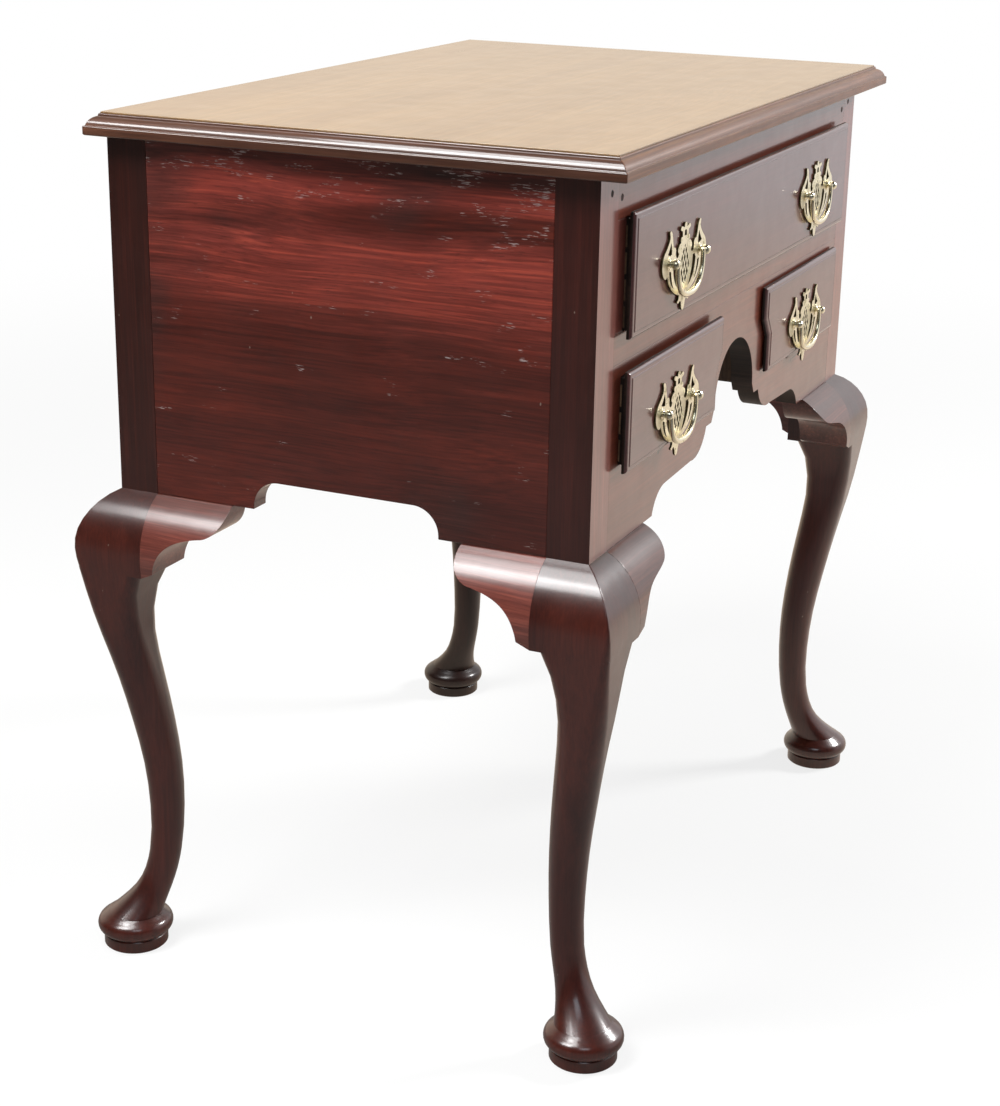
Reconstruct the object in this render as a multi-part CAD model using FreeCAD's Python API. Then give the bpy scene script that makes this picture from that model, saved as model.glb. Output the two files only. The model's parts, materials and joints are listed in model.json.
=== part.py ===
import FreeCAD, Part
import math
import os

# A lowboy: a small dressing table with one long drawer over two short ones, a shaped kneehole
# apron and four cabriole legs.  Millimetres.  The origin is on the floor under the middle of the
# case, +X is to the right seen from the front, the front faces -Y and +Z is up.

V = FreeCAD.Vector

# ---------------------------------------------------------------- driving dimensions
CASE_WIDTH = 654.0
CASE_DEPTH = 416.0
LEG_HEIGHT = 423.0             # floor to the lower edge of the case
APRON_UNDER_DRAWERS = 64.0     # case edge up to the short drawers' openings
SHORT_OPENING_HEIGHT = 69.0
APRON_OVER_DRAWERS = 11.0
MIDDLE_RAIL_HEIGHT = 24.0
LONG_OPENING_HEIGHT = 85.0
TOP_RAIL_HEIGHT = 36.0

TOP_THICKNESS = 18.0
TOP_OVERHANG_SIDE = 17.0
TOP_OVERHANG_FRONT = 26.0
TOP_OVERHANG_BACK = 11.0
MOULDING_WIDTH = 10.4

POST = 35.0                    # the square post that each leg carries above its knee
SIDE_THICKNESS = 19.0
BACK_THICKNESS = 14.0
RAIL_THICKNESS = 22.0
MIDDLE_RAIL_DEPTH = 70.0
APRON_THICKNESS = 20.0
PARTITION_THICKNESS = 14.0
BACK_RISE = 17.0               # the back board starts this far above the case edge

STILE_OUTER = 52.0             # case side to the drawer openings
SHORT_OPENING_INNER = 80.0     # centre line to the short drawers' openings

TENON_THICKNESS = 8.0
TENON_LENGTH = 14.0
RAIL_TENON_LENGTH = 20.0
TENON_SHOULDER = 7.0
PEG_RADIUS = 2.6
PEG_LENGTH = 19.0
PEG_CLEARANCE = 0.05

# drawers
LIP = 5.0                      # how far a drawer front laps over its opening
LIP_THICKNESS = 4.6
FIELD_RISE = 0.6               # the flat of the front stands this far above its moulded edge
PLUG_THICKNESS = 15.0          # the part of the front that enters the opening
DRAWER_SIDE = 9.0
DRAWER_BACK = 9.0
DRAWER_BOTTOM = 6.0
GROOVE_DEPTH = 4.0
GROOVE_HEIGHT = 7.0            # lower edge of a drawer side up to its groove
SIDE_GAP = 1.0                 # drawer side to the opening's edge
TOP_GAP = 4.0
RUN_GAP = 0.3                  # drawer to its runner, and lip to the case when shut
BACK_GAP = 8.0
DOVETAIL_LENGTH = 11.0
DOVETAIL_SLOPE = 1.0 / 6.0
LONG_AJAR = 4.4                # how far each drawer stands open
LEFT_AJAR = 4.4
RIGHT_AJAR = 1.2
SHORT_LIP_UPPER = 63.0         # centre line to a short drawer's inner lip, above and below its bend
SHORT_LIP_LOWER = 75.0

RUNNER_WIDTH = 25.0            # how far a runner reaches in under its drawer
RUNNER_THICKNESS = 16.0
GUIDE_HEIGHT = 14.0
KICKER_THICKNESS = 18.0
GLUE_BLOCK = 16.0
GLUE_BLOCK_LENGTH = 50.0

# legs: a template sawn on two faces, then rounded
FOOT_OUT_END = -3.5            # the foot's centre stands outside the corner of the case by this
FOOT_OUT_FACE = 7.2            # sideways, and this much forward or back
ANKLE_LEAN_END = -0.5          # the shin stands out of its template by this much
ANKLE_LEAN_FACE = 2.8
FOOT_DISC_RADIUS = 28.0
FOOT_DISC_HEIGHT = 11.0
PAD_RADIUS = 33.0
PAD_WIDEST = 19.5
PAD_TOP = 36.0
BLOCK_FRONT_END = 113.0        # case side to the end of a front knee block
BLOCK_SIDE_END = 106.0         # case front or back to the end of a side knee block
BLOCK_DEPTH = 19.0             # how far a knee block reaches in under the case

# kneehole apron, measured from its centre line and from the case edge
ARCH_RADIUS = 51.0
ARCH_CENTRE = 54.0
ARCH_FLARE = 6.0
ARCH_FOOT = 43.5
STEP_WIDTH = 13.0
LOBE_WIDTH = 36.0
FLAT_RISE = 22.5
FLAT_END = 165.0
FLAT_CORNER = 195.0
SKIRT_RISE = 24.5              # side skirts: a long flat with a quarter hollow at each end
SKIRT_CORNER = 22.0
SKIRT_MARGIN = 126.0

# pulls
PULL_X = 177.0                 # centre line to the middle of a pull
POST_SPACING = 69.0
PLATE_THICKNESS = 1.7
PULL_DROP_LONG = 2.0           # below the middle of the drawer's opening
PULL_DROP_SHORT = 8.3
BOLT_RADIUS = 2.2
BOLT_CLEARANCE = 0.1
HEAD_RADIUS = 3.9
HEAD_REACH = 5.2               # plate to the middle of a post's head
HEAD_FACETS = 5                # turned flats round the side of a head
BAIL_HALF_WIDTH = 27.5
BAIL_DROP = 28.0
BAIL_RADIUS = 1.8
BAIL_SWELL = 0.9
BAIL_SIDES = 14
BAIL_LENGTHS = 18
PIN_RADIUS = 1.3
PIN_CLEARANCE = 0.05
COLLAR_RADIUS = 5.0

# ---------------------------------------------------------------- places worked out from them
SIDE_X = CASE_WIDTH / 2
FRONT_Y = -CASE_DEPTH / 2
BACK_Y = CASE_DEPTH / 2
CASE_Z = LEG_HEIGHT
SHORT_LOW = CASE_Z + APRON_UNDER_DRAWERS
SHORT_HIGH = SHORT_LOW + SHORT_OPENING_HEIGHT
RAIL_LOW = SHORT_HIGH + APRON_OVER_DRAWERS
LONG_LOW = RAIL_LOW + MIDDLE_RAIL_HEIGHT
LONG_HIGH = LONG_LOW + LONG_OPENING_HEIGHT
CASE_TOP = LONG_HIGH + TOP_RAIL_HEIGHT
POST_X = SIDE_X - POST                     # inner faces of the posts
POST_FRONT_Y = FRONT_Y + POST
POST_BACK_Y = BACK_Y - POST
PANEL_X = SIDE_X - SIDE_THICKNESS          # inner faces of the side panels
BACK_FACE_Y = BACK_Y - BACK_THICKNESS
OPENING_X = SIDE_X - STILE_OUTER
DRAWER_END_Y = BACK_FACE_Y - BACK_GAP
PARTITION_X = SHORT_OPENING_INNER - PARTITION_THICKNESS

NODES = {}


# ---------------------------------------------------------------- small tools
CURVE_FIT = 0.1                # how far an arc may lie from the curve that it follows


def box(x0, x1, y0, y1, z0, z1):
    """A block between two corners."""
    return Part.makeBox(x1 - x0, y1 - y0, z1 - z0, V(x0, y0, z0))


def rod(start, end, radius):
    """A round bar from one point to another."""
    way = end - start
    return Part.makeCylinder(radius, way.Length, start, way)


def outline(start, *steps):
    """A closed wire in a plane.  Each step is ("line", p, ...), ("arc", middle, end) or
    ("curve", p, ...), and carries on from the point before it.  A curve is laid out as arcs."""
    edges = []
    here = start
    for kind, *points in steps:
        if kind == "line":
            for point in points:
                edges.append(Part.LineSegment(here, point).toShape())
                here = point
        elif kind == "arc":
            edges.append(Part.Arc(here, points[0], points[1]).toShape())
            here = points[1]
        else:
            curve = Part.BSplineCurve()
            curve.interpolate([here] + points)
            edges.extend(arc.toShape() for arc in curve.toBiArcs(CURVE_FIT))
            here = points[-1]
    if (here - start).Length > 1e-6:
        edges.append(Part.LineSegment(here, start).toShape())
    return Part.Wire(edges)


def prism(wire, way):
    """The solid that a flat outline sweeps along a vector."""
    return Part.Face(wire).extrude(way)


def mirrored(shape, across="x"):
    """The same solid on the other side of the centre line."""
    normal = V(1, 0, 0) if across == "x" else V(0, 1, 0)
    return shape.mirror(V(0, 0, 0), normal)


def both_sides(name, shape):
    """Keep a right-hand piece and its left-hand twin as two nodes."""
    NODES[name + "_right"] = shape
    NODES[name + "_left"] = mirrored(shape)


def turned(profile, centre, axis):
    """The solid of a closed half profile, turned once about an axis."""
    return Part.Face(profile).revolve(centre, axis, 360)


# ---------------------------------------------------------------- legs
def leg_curves():
    """Outer and inner edges of the leg's template: distance out from the case corner and height.
    The heights are drawn for this leg and stretch with it."""
    outer = [
        (0.0, 423.0), (11.5, 415.5), (21.5, 403.5), (28.0, 389.0), (30.0, 374.0), (28.6, 356.0),
        (23.5, 322.0), (17.2, 289.0), (3.5, 216.0), (-3.4, 172.0), (-6.6, 130.0), (-6.4, 98.0),
        (-3.0, 74.0), (4.5, 54.0), (14.0, 42.0), (25.3, 31.0),
    ]
    inner = [
        (-29.5, 358.0), (-25.4, 350.0), (-22.2, 336.0), (-20.8, 315.0), (-22.6, 290.0),
        (-28.6, 248.0), (-33.2, 208.0), (-36.0, 168.0), (-36.0, 130.0), (-34.2, 100.0),
        (-30.4, 72.0), (-26.0, 52.0), (-23.4, 40.0), (-21.9, 31.0),
    ]
    curves = []
    for points in (outer, inner):
        curve = Part.BSplineCurve()
        curve.interpolate([V(x, 0, z * LEG_HEIGHT / TEMPLATE_HEIGHT) for x, z in points])
        curves.append(curve)
    return curves


TEMPLATE_HEIGHT = 423.0
UNDER_KNEE = 9.0                                      # corners are rounded off below the blocks
FOOT_IN = 31.0                                        # the shaft ends here, inside the pad
FOOT_OFFSET = 1.7                                     # middle of the template at that height
KNEE_FOOT = 358.0 * LEG_HEIGHT / TEMPLATE_HEIGHT      # where the knee blocks end on the leg
OUTER_CURVE, INNER_CURVE = leg_curves()


def place_at(curve, height):
    """The parameter at which a template curve passes a height."""
    low, high = curve.FirstParameter, curve.LastParameter
    for _ in range(60):
        middle = (low + high) / 2
        if curve.value(middle).z > height:
            low = middle
        else:
            high = middle
    return low


def at_height(curve, height):
    """How far out a template curve lies at a height."""
    return curve.value(place_at(curve, height)).x


def stations(top, bottom, count):
    """Heights that divide the leg's outer curve evenly from one height to another."""
    first, last = place_at(OUTER_CURVE, top), place_at(OUTER_CURVE, bottom)
    between = [first + (last - first) * step / count for step in range(1, count)]
    return [top] + [OUTER_CURVE.value(place).z for place in between] + [bottom]


def blend(height, top, bottom):
    """0 at the top height, 1 at the bottom height, smooth between."""
    share = min(max((top - height) / (top - bottom), 0.0), 1.0)
    return share * share * (3 - 2 * share)


def leg_section(height, knee=False):
    """The leg's outline at one height: a square whose four corners are rounded by different
    amounts.  The ridge stays sharp over the knee, where the other corners are left square for
    the blocks to meet, and the ankle is round."""
    outer = at_height(OUTER_CURVE, height)
    inner = -POST if knee else at_height(INNER_CURVE, height)
    half = (outer - inner) / 2
    full = half - 0.4
    scale = LEG_HEIGHT / TEMPLATE_HEIGHT
    below_knee = blend(height, KNEE_FOOT, 290 * scale)
    into_foot = blend(height, 100 * scale, FOOT_IN)
    foot_x = FOOT_OUT_END - FOOT_OFFSET
    foot_y = FOOT_OUT_FACE - 1.6 * FOOT_OFFSET
    lean_x = ANKLE_LEAN_END * below_knee + (foot_x - ANKLE_LEAN_END) * into_foot
    lean_y = ANKLE_LEAN_FACE * below_knee + (foot_y - ANKLE_LEAN_FACE) * into_foot
    ridge = 0.8 + (full - 0.8) * blend(height, 405 * scale, 235 * scale)
    side = UNDER_KNEE + (full - UNDER_KNEE) * blend(height, KNEE_FOOT, 235 * scale)
    if knee:
        side = 0
    corners = [
        (outer, outer, ridge), (inner, outer, side), (inner, inner, side), (outer, inner, side),
    ]
    steps = []
    for index, (x, y, radius) in enumerate(corners):
        before = corners[index - 1]
        after = corners[(index + 1) % 4]
        to_before = V(before[0] - x, before[1] - y, 0).normalize()
        to_after = V(after[0] - x, after[1] - y, 0).normalize()
        corner = V(x + lean_x, y + lean_y, height)
        centre = corner + (to_before + to_after) * radius
        middle = centre - (to_before + to_after).normalize() * radius
        steps.append(("line", corner + to_before * radius))
        if radius > 0:
            steps.append(("arc", middle, corner + to_after * radius))
    return outline(steps[-1][-1], *steps)


def flats(middle, radius, first, last, count, up=V(0, 0, 1)):
    """Points at even angles round a middle in the plane of X and up, from the first angle to the
    last, in degrees from the X axis."""
    angles = [math.radians(first + (last - first) * step / count) for step in range(count + 1)]
    return [middle + V(radius * math.cos(angle), 0, 0) + up * radius * math.sin(angle)
            for angle in angles]


def foot_pad():
    """The turned pad foot on its low disc, its round rim turned in narrow flats."""
    rim = PAD_WIDEST - FOOT_DISC_HEIGHT
    profile = outline(
        V(0, 0, 0),
        ("line", V(FOOT_DISC_RADIUS - 1, 0, 0)),
        ("line", V(FOOT_DISC_RADIUS, 0, 1)),
        ("line", V(FOOT_DISC_RADIUS, 0, FOOT_DISC_HEIGHT - 1)),
        ("line", V(FOOT_DISC_RADIUS - 0.8, 0, FOOT_DISC_HEIGHT)),
        ("line", *flats(V(PAD_RADIUS - rim, 0, PAD_WIDEST), rim, -55, 65, 8)),
        ("arc", V(PAD_RADIUS - 15, 0, PAD_TOP - 2.2), V(0, 0, PAD_TOP)),
    )
    centre = V(FOOT_OUT_END, FOOT_OUT_FACE, 0)
    profile.translate(centre)
    return turned(profile, centre, V(0, 0, 1))


def cabriole():
    """One leg about the case corner at 0,0: post, knee, ankle and foot in one piece of wood."""
    shin_foot = 88.0 * LEG_HEIGHT / TEMPLATE_HEIGHT
    lengths = ((CASE_Z, KNEE_FOOT, 9, True), (KNEE_FOOT, shin_foot, 13, False),
               (shin_foot, FOOT_IN, 7, False))
    post = box(-POST, 0, -POST, 0, CASE_Z, CASE_TOP)
    leg = post.fuse(foot_pad())
    for top, bottom, count, knee in lengths:
        sections = [leg_section(height, knee) for height in stations(top, bottom, count)]
        leg = leg.fuse(Part.makeLoft(sections, True, True))
    return leg.removeSplitter()


def knee_profile():
    """Section through a knee block, seen along the rail: the leg's own outer curve in front."""
    steps = 14
    points = []
    for step in range(1, steps + 1):
        height = CASE_Z + (KNEE_FOOT - 6 - CASE_Z) * step / steps
        points.append(V(0, at_height(OUTER_CURVE, height), height))
    last = points[-1]
    return outline(
        V(0, -BLOCK_DEPTH, CASE_Z),
        ("line", V(0, 0, CASE_Z)),
        ("curve", *points),
        ("line", V(0, -BLOCK_DEPTH, last.z)),
    )


def knee_block(end):
    """The block beside a knee, running in from the leg along -X: its face carries the knee on,
    and its lower edge is scrolled up to a rounded end.  end is its reach from the case corner."""
    scale = LEG_HEIGHT / TEMPLATE_HEIGHT

    def at(distance, height):
        return V(-distance, -BLOCK_DEPTH - 1, height * scale)

    shape = outline(
        at(POST, TEMPLATE_HEIGHT),
        ("line", at(end, TEMPLATE_HEIGHT)),
        ("arc", at(end - 3.5, 407), at(end - 16, 398.5)),
        ("curve", at(end - 32, 395), at(POST + 21, 385), at(POST + 13.5, 373), at(POST + 11, 363)),
        ("line", at(POST, 358)),
    )
    face = prism(knee_profile(), V(-end - 5, 0, 0))
    scroll = prism(shape, V(0, BLOCK_DEPTH + 60, 0))
    return face.common(scroll)


def swapped(shape):
    """A piece turned over the corner's diagonal, so that what ran along X runs along Y."""
    return shape.mirror(V(0, 0, 0), V(1, -1, 0))


def at_corner(shape, right, back):
    """Move a piece drawn about the case corner to one of the four corners."""
    if not right:
        shape = mirrored(shape)
    if not back:
        shape = mirrored(shape, "y")
    return shape.translated(V(SIDE_X if right else -SIDE_X, BACK_Y if back else FRONT_Y, 0))


# ---------------------------------------------------------------- case
def side_tenon(y0, y1):
    """The tongue on a right side panel's end."""
    x1 = SIDE_X - 5.0
    return box(x1 - TENON_THICKNESS, x1, y0, y1, CASE_Z + 10, CASE_TOP - 10)


def side_panel():
    """A side of the case with its skirt cut, and a tongue at each end."""
    board = box(PANEL_X, SIDE_X, POST_FRONT_Y, POST_BACK_Y, CASE_Z, CASE_TOP)
    low, high = FRONT_Y + SKIRT_MARGIN, BACK_Y - SKIRT_MARGIN
    corner = SKIRT_CORNER
    bulge = corner * (1 - math.sqrt(0.5))
    level = CASE_Z + SKIRT_RISE
    cut = outline(
        V(0, low, CASE_Z - 1),
        ("line", V(0, low, level - corner)),
        ("arc", V(0, low + bulge, level - bulge), V(0, low + corner, level)),
        ("line", V(0, high - corner, level)),
        ("arc", V(0, high - bulge, level - bulge), V(0, high, level - corner)),
        ("line", V(0, high, CASE_Z - 1)),
    )
    board = board.cut(prism(cut, V(SIDE_X + 10, 0, 0)))
    front = side_tenon(POST_FRONT_Y - TENON_LENGTH, POST_FRONT_Y)
    back = side_tenon(POST_BACK_Y, POST_BACK_Y + TENON_LENGTH)
    return board.fuse(front).fuse(back).removeSplitter()


def back_tenon(x0, x1):
    """The tongue on the back board's end."""
    y1 = BACK_Y - 4.0
    return box(x0, x1, y1 - TENON_THICKNESS + 2, y1, CASE_Z + BACK_RISE + 8, CASE_TOP - 10)


def rail_tenon(low, high, thickness, x0, x1):
    """A rail's tenon in a right-hand front post."""
    y0 = FRONT_Y + TENON_SHOULDER
    return box(x0, x1, y0, y0 + thickness, low + 6, high - 6)


FRONT_RAILS = (
    # lower edge, upper edge, tenon thickness
    (LONG_HIGH, CASE_TOP, TENON_THICKNESS),
    (RAIL_LOW, LONG_LOW, 2 * TENON_THICKNESS),
    (CASE_Z, RAIL_LOW, TENON_THICKNESS),
)


def with_rail_tenons(rail, index):
    """A front rail with its two tenons."""
    low, high, thickness = FRONT_RAILS[index]
    tenon = rail_tenon(low, high, thickness, POST_X, POST_X + RAIL_TENON_LENGTH)
    return rail.fuse(tenon).fuse(mirrored(tenon)).removeSplitter()


def top_rail():
    """The rail over the long drawer."""
    rail = box(-POST_X, POST_X, FRONT_Y, FRONT_Y + RAIL_THICKNESS, LONG_HIGH, CASE_TOP)
    rail = with_rail_tenons(rail, 0)
    for hole in peg_holes():
        rail = rail.cut(hole)
    return rail


def middle_rail():
    """The flat rail between the long drawer and the short ones."""
    rail = box(-POST_X, POST_X, FRONT_Y, FRONT_Y + MIDDLE_RAIL_DEPTH, RAIL_LOW, LONG_LOW)
    return with_rail_tenons(rail, 1)


def apron_cut():
    """Everything under the apron's shaped lower edge, as one half from the centre line out."""
    y = FRONT_Y - 1
    arch = CASE_Z + ARCH_CENTRE
    foot = CASE_Z + ARCH_FOOT
    flat = CASE_Z + FLAT_RISE
    lean = math.radians(50)
    step = ARCH_RADIUS + ARCH_FLARE + STEP_WIDTH
    lobe = step + LOBE_WIDTH
    half = outline(
        V(0, y, CASE_Z - 1),
        ("line", V(0, y, arch + ARCH_RADIUS)),
        ("arc", V(ARCH_RADIUS * math.cos(lean), y, arch + ARCH_RADIUS * math.sin(lean)),
         V(ARCH_RADIUS, y, arch)),
        ("line", V(ARCH_RADIUS + ARCH_FLARE, y, foot), V(step, y, foot)),
        ("arc", V(step + 0.3 * LOBE_WIDTH, y, flat + 0.3 * (foot - flat)), V(lobe, y, flat)),
        ("line", V(FLAT_END, y, flat - 2)),
        ("arc", V(FLAT_END + 20.5, y, flat - 9), V(FLAT_CORNER, y, CASE_Z)),
        ("line", V(FLAT_CORNER, y, CASE_Z - 1)),
    )
    return prism(half, V(0, APRON_THICKNESS + 2, 0))


def apron():
    """The shaped kneehole board, with an opening for each short drawer."""
    board = box(-POST_X, POST_X, FRONT_Y, FRONT_Y + APRON_THICKNESS, CASE_Z, RAIL_LOW)
    board = with_rail_tenons(board, 2)
    opening = box(SHORT_OPENING_INNER, OPENING_X, FRONT_Y - 1, FRONT_Y + APRON_THICKNESS + 1,
                  SHORT_LOW, SHORT_HIGH)
    for cut in (opening, apron_cut()):
        board = board.cut(cut).cut(mirrored(cut))
    return board


def peg_places():
    """Peg centres on the right of the front: one through the tenon, one into the rail."""
    return ((SIDE_X - 22.0, CASE_TOP - 14.5), (SIDE_X - 42.0, CASE_TOP - 20.0))


def peg_holes():
    """Both pairs of holes for the pegs at the ends of the top rail."""
    holes = []
    for x, z in peg_places():
        for side in (1, -1):
            start = V(side * x, FRONT_Y - 1, z)
            end = V(side * x, FRONT_Y + PEG_LENGTH, z)
            holes.append(rod(start, end, PEG_RADIUS + PEG_CLEARANCE))
    return holes


def pegs():
    """The pegs themselves, flush with the front."""
    made = []
    for x, z in peg_places():
        for side in (1, -1):
            made.append(rod(V(side * x, FRONT_Y, z), V(side * x, FRONT_Y + PEG_LENGTH, z), PEG_RADIUS))
    return Part.makeCompound(made)


def corner_posts():
    """All four posts as plain blocks, to notch what fits round them."""
    post = box(POST_X, SIDE_X, POST_BACK_Y, BACK_Y, CASE_Z - 1, CASE_TOP + 1)
    right = post.fuse(mirrored(post, "y"))
    return right.fuse(mirrored(right))


def runner(low_y, surface):
    """A right-hand drawer runner with its guide: the drawer slides on the flat, inside the guide."""
    flat = box(OPENING_X - RUNNER_WIDTH, PANEL_X, low_y, BACK_FACE_Y,
               surface - RUNNER_THICKNESS, surface)
    guide = box(OPENING_X, PANEL_X, low_y, BACK_FACE_Y, surface, surface + GUIDE_HEIGHT)
    return flat.fuse(guide).cut(corner_posts()).removeSplitter()


def inner_runner():
    """The right-hand runner on the partition."""
    return box(SHORT_OPENING_INNER, SHORT_OPENING_INNER + RUNNER_WIDTH,
               FRONT_Y + APRON_THICKNESS, BACK_FACE_Y, SHORT_LOW - RUNNER_THICKNESS, SHORT_LOW)


def kicker():
    """The right-hand strip over the long drawer that stops it tipping when it is pulled out."""
    strip = box(OPENING_X - RUNNER_WIDTH, PANEL_X, FRONT_Y + RAIL_THICKNESS, BACK_FACE_Y,
                LONG_HIGH, LONG_HIGH + KICKER_THICKNESS)
    return strip.cut(corner_posts())


def glue_blocks():
    """Three-cornered blocks rubbed into the angle between the case and its top."""
    made = []
    low = CASE_TOP - GLUE_BLOCK
    half = GLUE_BLOCK_LENGTH / 2
    for centre in (-0.3 * CASE_DEPTH, 0.0, 0.3 * CASE_DEPTH):
        y0 = centre - half
        wire = outline(V(PANEL_X, y0, CASE_TOP), ("line", V(PANEL_X - GLUE_BLOCK, y0, CASE_TOP)),
                       ("line", V(PANEL_X, y0, low)))
        block = prism(wire, V(0, GLUE_BLOCK_LENGTH, 0))
        made += [block, mirrored(block)]
    for x in (-0.25 * CASE_WIDTH, 0.25 * CASE_WIDTH):
        for face, way in ((FRONT_Y + RAIL_THICKNESS, 1), (BACK_FACE_Y, -1)):
            start = V(x - half, face, CASE_TOP)
            wire = outline(start, ("line", V(x - half, face + way * GLUE_BLOCK, CASE_TOP)),
                           ("line", V(x - half, face, low)))
            made.append(prism(wire, V(GLUE_BLOCK_LENGTH, 0, 0)))
    return Part.makeCompound(made)


def make_case():
    """Legs, knee blocks, panels, rails and the woodwork inside."""
    leg = cabriole()
    rail_mortises = [
        rail_tenon(low, high, thick, POST_X, POST_X + RAIL_TENON_LENGTH)
        for low, high, thick in FRONT_RAILS
    ]
    front_block = knee_block(BLOCK_FRONT_END)
    side_block = swapped(knee_block(BLOCK_SIDE_END))
    for back in (False, True):
        placed = at_corner(leg, True, back)
        if back:
            cuts = [side_tenon(POST_BACK_Y, POST_BACK_Y + TENON_LENGTH),
                    back_tenon(POST_X, POST_X + TENON_LENGTH)]
        else:
            cuts = [side_tenon(POST_FRONT_Y - TENON_LENGTH, POST_FRONT_Y)] + rail_mortises
            cuts += peg_holes()
        for cut in cuts:
            placed = placed.cut(cut)
        end = "back" if back else "front"
        both_sides("leg_" + end, placed)
        both_sides("knee_block_side_" + end, at_corner(side_block, True, back))
    both_sides("knee_block_front", at_corner(front_block, True, False))
    both_sides("side_panel", side_panel())
    back = box(-POST_X, POST_X, BACK_FACE_Y, BACK_Y, CASE_Z + BACK_RISE, CASE_TOP)
    tongue = back_tenon(POST_X, POST_X + TENON_LENGTH)
    NODES["back_board"] = back.fuse(tongue).fuse(mirrored(tongue)).removeSplitter()
    NODES["top_rail"] = top_rail()
    NODES["middle_rail"] = middle_rail()
    NODES["apron"] = apron()
    stile = box(OPENING_X, POST_X, FRONT_Y, FRONT_Y + RAIL_THICKNESS, LONG_LOW, LONG_HIGH)
    both_sides("front_stile", stile)
    both_sides("long_drawer_runner", runner(FRONT_Y + MIDDLE_RAIL_DEPTH, LONG_LOW))
    short = [runner(FRONT_Y + APRON_THICKNESS, SHORT_LOW), inner_runner()]
    NODES["short_drawer_runners_right"] = Part.makeCompound(short)
    NODES["short_drawer_runners_left"] = Part.makeCompound([mirrored(s) for s in short])
    partition = box(PARTITION_X, SHORT_OPENING_INNER, FRONT_Y + APRON_THICKNESS, BACK_FACE_Y,
                    SHORT_LOW - RUNNER_THICKNESS, RAIL_LOW)
    both_sides("partition", partition)
    NODES["kickers"] = Part.makeCompound([kicker(), mirrored(kicker())])
    NODES["glue_blocks"] = glue_blocks()
    NODES["pegs"] = pegs()


# ---------------------------------------------------------------- top
def moulding_profile():
    """Section of the top's edge, growing out along +X from the board: a small bead, a wide
    ovolo, a step and a flat fascia with an eased lower edge."""
    width = MOULDING_WIDTH
    bead = 0.14 * width
    nose = width - 1.6
    board = CASE_TOP + TOP_THICKNESS
    ovolo = board - 3.4
    fascia = CASE_TOP + 7.2
    return outline(
        V(0, 0, CASE_TOP),
        ("line", V(0, 0, board - 1.2)),
        ("arc", V(0.72 * bead, 0, board - 1.6), V(bead, 0, board - 2.6)),
        ("line", V(bead, 0, ovolo)),
        ("arc", V(bead + 0.62 * (nose - bead), 0, fascia + 0.70 * (ovolo - fascia)),
         V(nose, 0, fascia + 0.4)),
        ("line", V(nose, 0, fascia), V(width, 0, fascia), V(width, 0, CASE_TOP + 1.4)),
        ("arc", V(width - 0.4, 0, CASE_TOP + 0.4), V(width - 1.4, 0, CASE_TOP)),
    )


def mitred(profile, length):
    """A moulding of the profile along +Y, its ends cut at 45 degrees.  length is measured on its
    inner edge, centred on 0."""
    half = length / 2
    reach = half + MOULDING_WIDTH
    bar = prism(profile.translated(V(0, -reach, 0)), V(0, 2 * reach, 0))
    plan = outline(
        V(-1, -half + 1, 0),
        ("line", V(MOULDING_WIDTH + 1, -reach - 1, 0), V(MOULDING_WIDTH + 1, reach + 1, 0)),
        ("line", V(-1, half - 1, 0)),
    )
    return bar.common(prism(plan, V(0, 0, CASE_TOP + 2 * TOP_THICKNESS)))


def make_top():
    """The flat board and the four lengths of moulding mitred round it."""
    x = SIDE_X + TOP_OVERHANG_SIDE - MOULDING_WIDTH
    front = FRONT_Y - TOP_OVERHANG_FRONT + MOULDING_WIDTH
    back = BACK_Y + TOP_OVERHANG_BACK - MOULDING_WIDTH
    NODES["top_board"] = box(-x, x, front, back, CASE_TOP, CASE_TOP + TOP_THICKNESS)
    profile = moulding_profile()
    end = mitred(profile, back - front).translated(V(x, (front + back) / 2, 0))
    both_sides("top_moulding", end)
    for name, angle, y in (("top_moulding_back", 90, back), ("top_moulding_front", -90, front)):
        length = mitred(profile, 2 * x)
        length.rotate(V(0, 0, 0), V(0, 0, 1), angle)
        NODES[name] = length.translated(V(0, y, 0))


# ---------------------------------------------------------------- drawers
def tails(x0, x1, root, tip, low, high, count):
    """Dovetails on the end of a drawer side, from the root line to the tip line along Y."""
    pitch = (high - low) / count
    reach = abs(tip - root)
    narrow = 0.31 * pitch
    wide = narrow + DOVETAIL_SLOPE * reach
    made = []
    for index in range(count):
        centre = low + (index + 0.5) * pitch
        wire = outline(
            V(x0, root, centre - narrow),
            ("line", V(x0, tip, centre - wide), V(x0, tip, centre + wide)),
            ("line", V(x0, root, centre + narrow)),
        )
        made.append(prism(wire, V(x1 - x0, 0, 0)))
    return made


def lipped_front(lip_points, plug):
    """A drawer front: a moulded lip, a raised flat inside it, and the plug behind."""
    wire = outline(lip_points[0], ("line", *lip_points[1:]))
    face = Part.Face(wire)
    lip = face.extrude(V(0, -LIP_THICKNESS, 0))
    outer = lip_points[0].y - LIP_THICKNESS
    edges = [e for e in lip.Edges if all(abs(v.Point.y - outer) < 1e-6 for v in e.Vertexes)]
    lip = lip.makeFillet(0.7 * LIP_THICKNESS, edges)
    field = face.makeOffset2D(-LIP, 2)
    field = field.translated(V(0, -LIP_THICKNESS + 1, 0)).extrude(V(0, -FIELD_RISE - 1, 0))
    return lip.fuse(field).fuse(plug).removeSplitter()


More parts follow.
